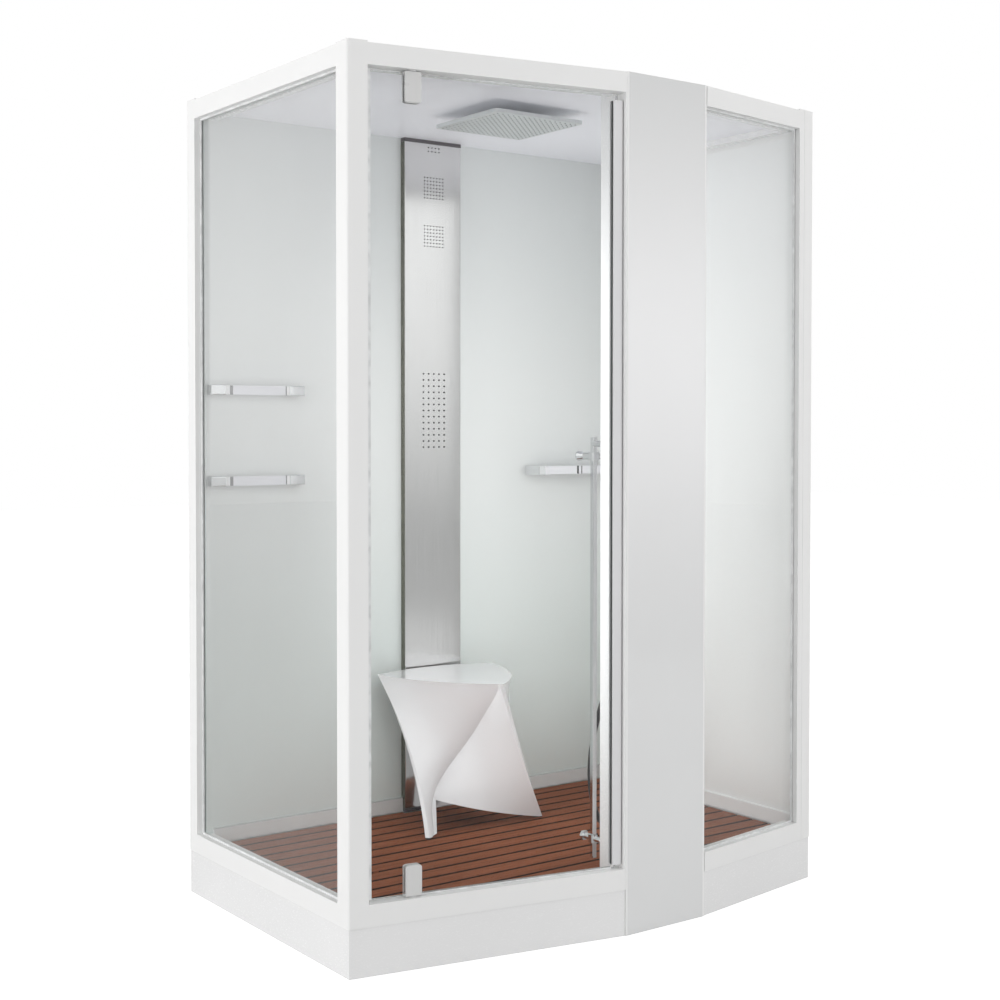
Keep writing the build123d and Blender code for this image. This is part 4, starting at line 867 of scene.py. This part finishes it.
floor_size = 40.0
floor_gap = 0.0005
floor_glow = 0.60
start_clean()
bpy.ops.mesh.primitive_plane_add(size=floor_size, location=(0, 0, cad_low.z - floor_gap))
floor = name_it("studio_floor")


def floor_finish():
    """A white floor that glows where it is seen directly, and keeps the soft shadow of the cabin."""
    finish, tree, shader = new_finish("studio_floor", (0.80, 0.80, 0.80), 0.9, specular=0.0)
    glow = tree.nodes.new("ShaderNodeEmission")
    glow.inputs["Color"].default_value = (1.0, 1.0, 1.0, 1.0)
    strength = calculate(tree, "MULTIPLY", seen_directly(tree), floor_glow)
    tree.links.new(strength, glow.inputs["Strength"])
    both = tree.nodes.new("ShaderNodeAddShader")
    tree.links.new(shader.outputs["BSDF"], both.inputs[0])
    tree.links.new(glow.outputs["Emission"], both.inputs[1])
    tree.links.new(both.outputs["Shader"], tree.nodes["Material Output"].inputs["Surface"])
    return finish


floor.data.materials.append(floor_finish())
print("floor", floor_size, "m wide, glow", floor_glow)

# %% [markdown]
# ### The room
#
# The room has one strength for each kind of ray. Where it is looked at, it is plain white. The light that it
# gives is dimmer, so that pale paint doesn't clip. In mirrors it goes from grey below the horizon to bright
# above it, which gives the polished steel its soft gradient.

# %% World
room_light = 0.62
mirror_low, mirror_high = 0.46, 1.15
horizon_start, horizon_end = -0.12, 0.10
world = bpy.data.worlds.new("white_room")
bpy.context.scene.world = world
world.use_nodes = True
room = world.node_tree
background = room.nodes["Background"]
background.inputs["Color"].default_value = (1.0, 1.0, 1.0, 1.0)
coordinates = room.nodes.new("ShaderNodeTexCoord")
split = room.nodes.new("ShaderNodeSeparateXYZ")
room.links.new(coordinates.outputs["Generated"], split.inputs["Vector"])
rise = between(room, split.outputs["Z"], mirror_low, mirror_high, horizon_start, horizon_end)
rise.node.interpolation_type = "SMOOTHSTEP"
glossy = room.nodes.new("ShaderNodeLightPath").outputs["Is Glossy Ray"]
difference = calculate(room, "SUBTRACT", rise, room_light)
mirrored = calculate(room, "MULTIPLY_ADD", difference, glossy, room_light)
seen = seen_directly(room)
missing = calculate(room, "SUBTRACT", 1.0, mirrored)
strength = calculate(room, "MULTIPLY_ADD", missing, seen, mirrored)
room.links.new(strength, background.inputs["Strength"])
print("room light", room_light, "mirrored from", mirror_low, "to", mirror_high)


# %% [markdown]
# ### The lamps
#
# A large soft lamp at the left lights the left faces, a weaker one stands in front at the right, and one
# hangs above. Three faint lamps inside stand in for the light that bounces between the pale walls. Each is
# given by its place, the point that it looks at, its size in metres and its power in watts.

# %% Lamps
def soft_lamp(name, place, target, size, power):
    """A large soft lamp that points at a target and isn't seen itself."""
    light = bpy.data.lights.new(name, "AREA")
    light.shape = "RECTANGLE"
    light.size, light.size_y = size
    light.energy = power
    lamp = bpy.data.objects.new(name, light)
    bpy.context.scene.collection.objects.link(lamp)
    lamp.location = place
    lamp.rotation_euler = (Vector(target) - Vector(place)).to_track_quat("-Z", "Y").to_euler()
    lamp.visible_camera = False
    lamp.visible_transmission = False
    lamp.visible_glossy = False
    print(name, power, "W")


soft_lamp("side_lamp", (-5.2, 0.1, 1.3), (0, 0, 0.9), (2.6, 2.6), 100)
soft_lamp("front_lamp", (1.7, -4.6, 1.6), (0, 0, 1.0), (2.6, 2.6), 48)
soft_lamp("top_lamp", (0.2, -0.6, 4.6), (0, 0, 0), (3.0, 3.0), 20)
soft_lamp("cabin_front_lamp", (-0.22, -0.28, 1.35), (-0.22, 0.40, 1.35), (0.8, 1.1), 1.5)
soft_lamp("cabin_right_lamp", (-0.30, -0.24, 1.15), (0.65, -0.05, 1.10), (0.35, 1.3), 2.8)
soft_lamp("cabin_up_lamp", (0.1, -0.18, 0.18), (0.1, -0.10, 2.2), (0.8, 0.3), 0.8)
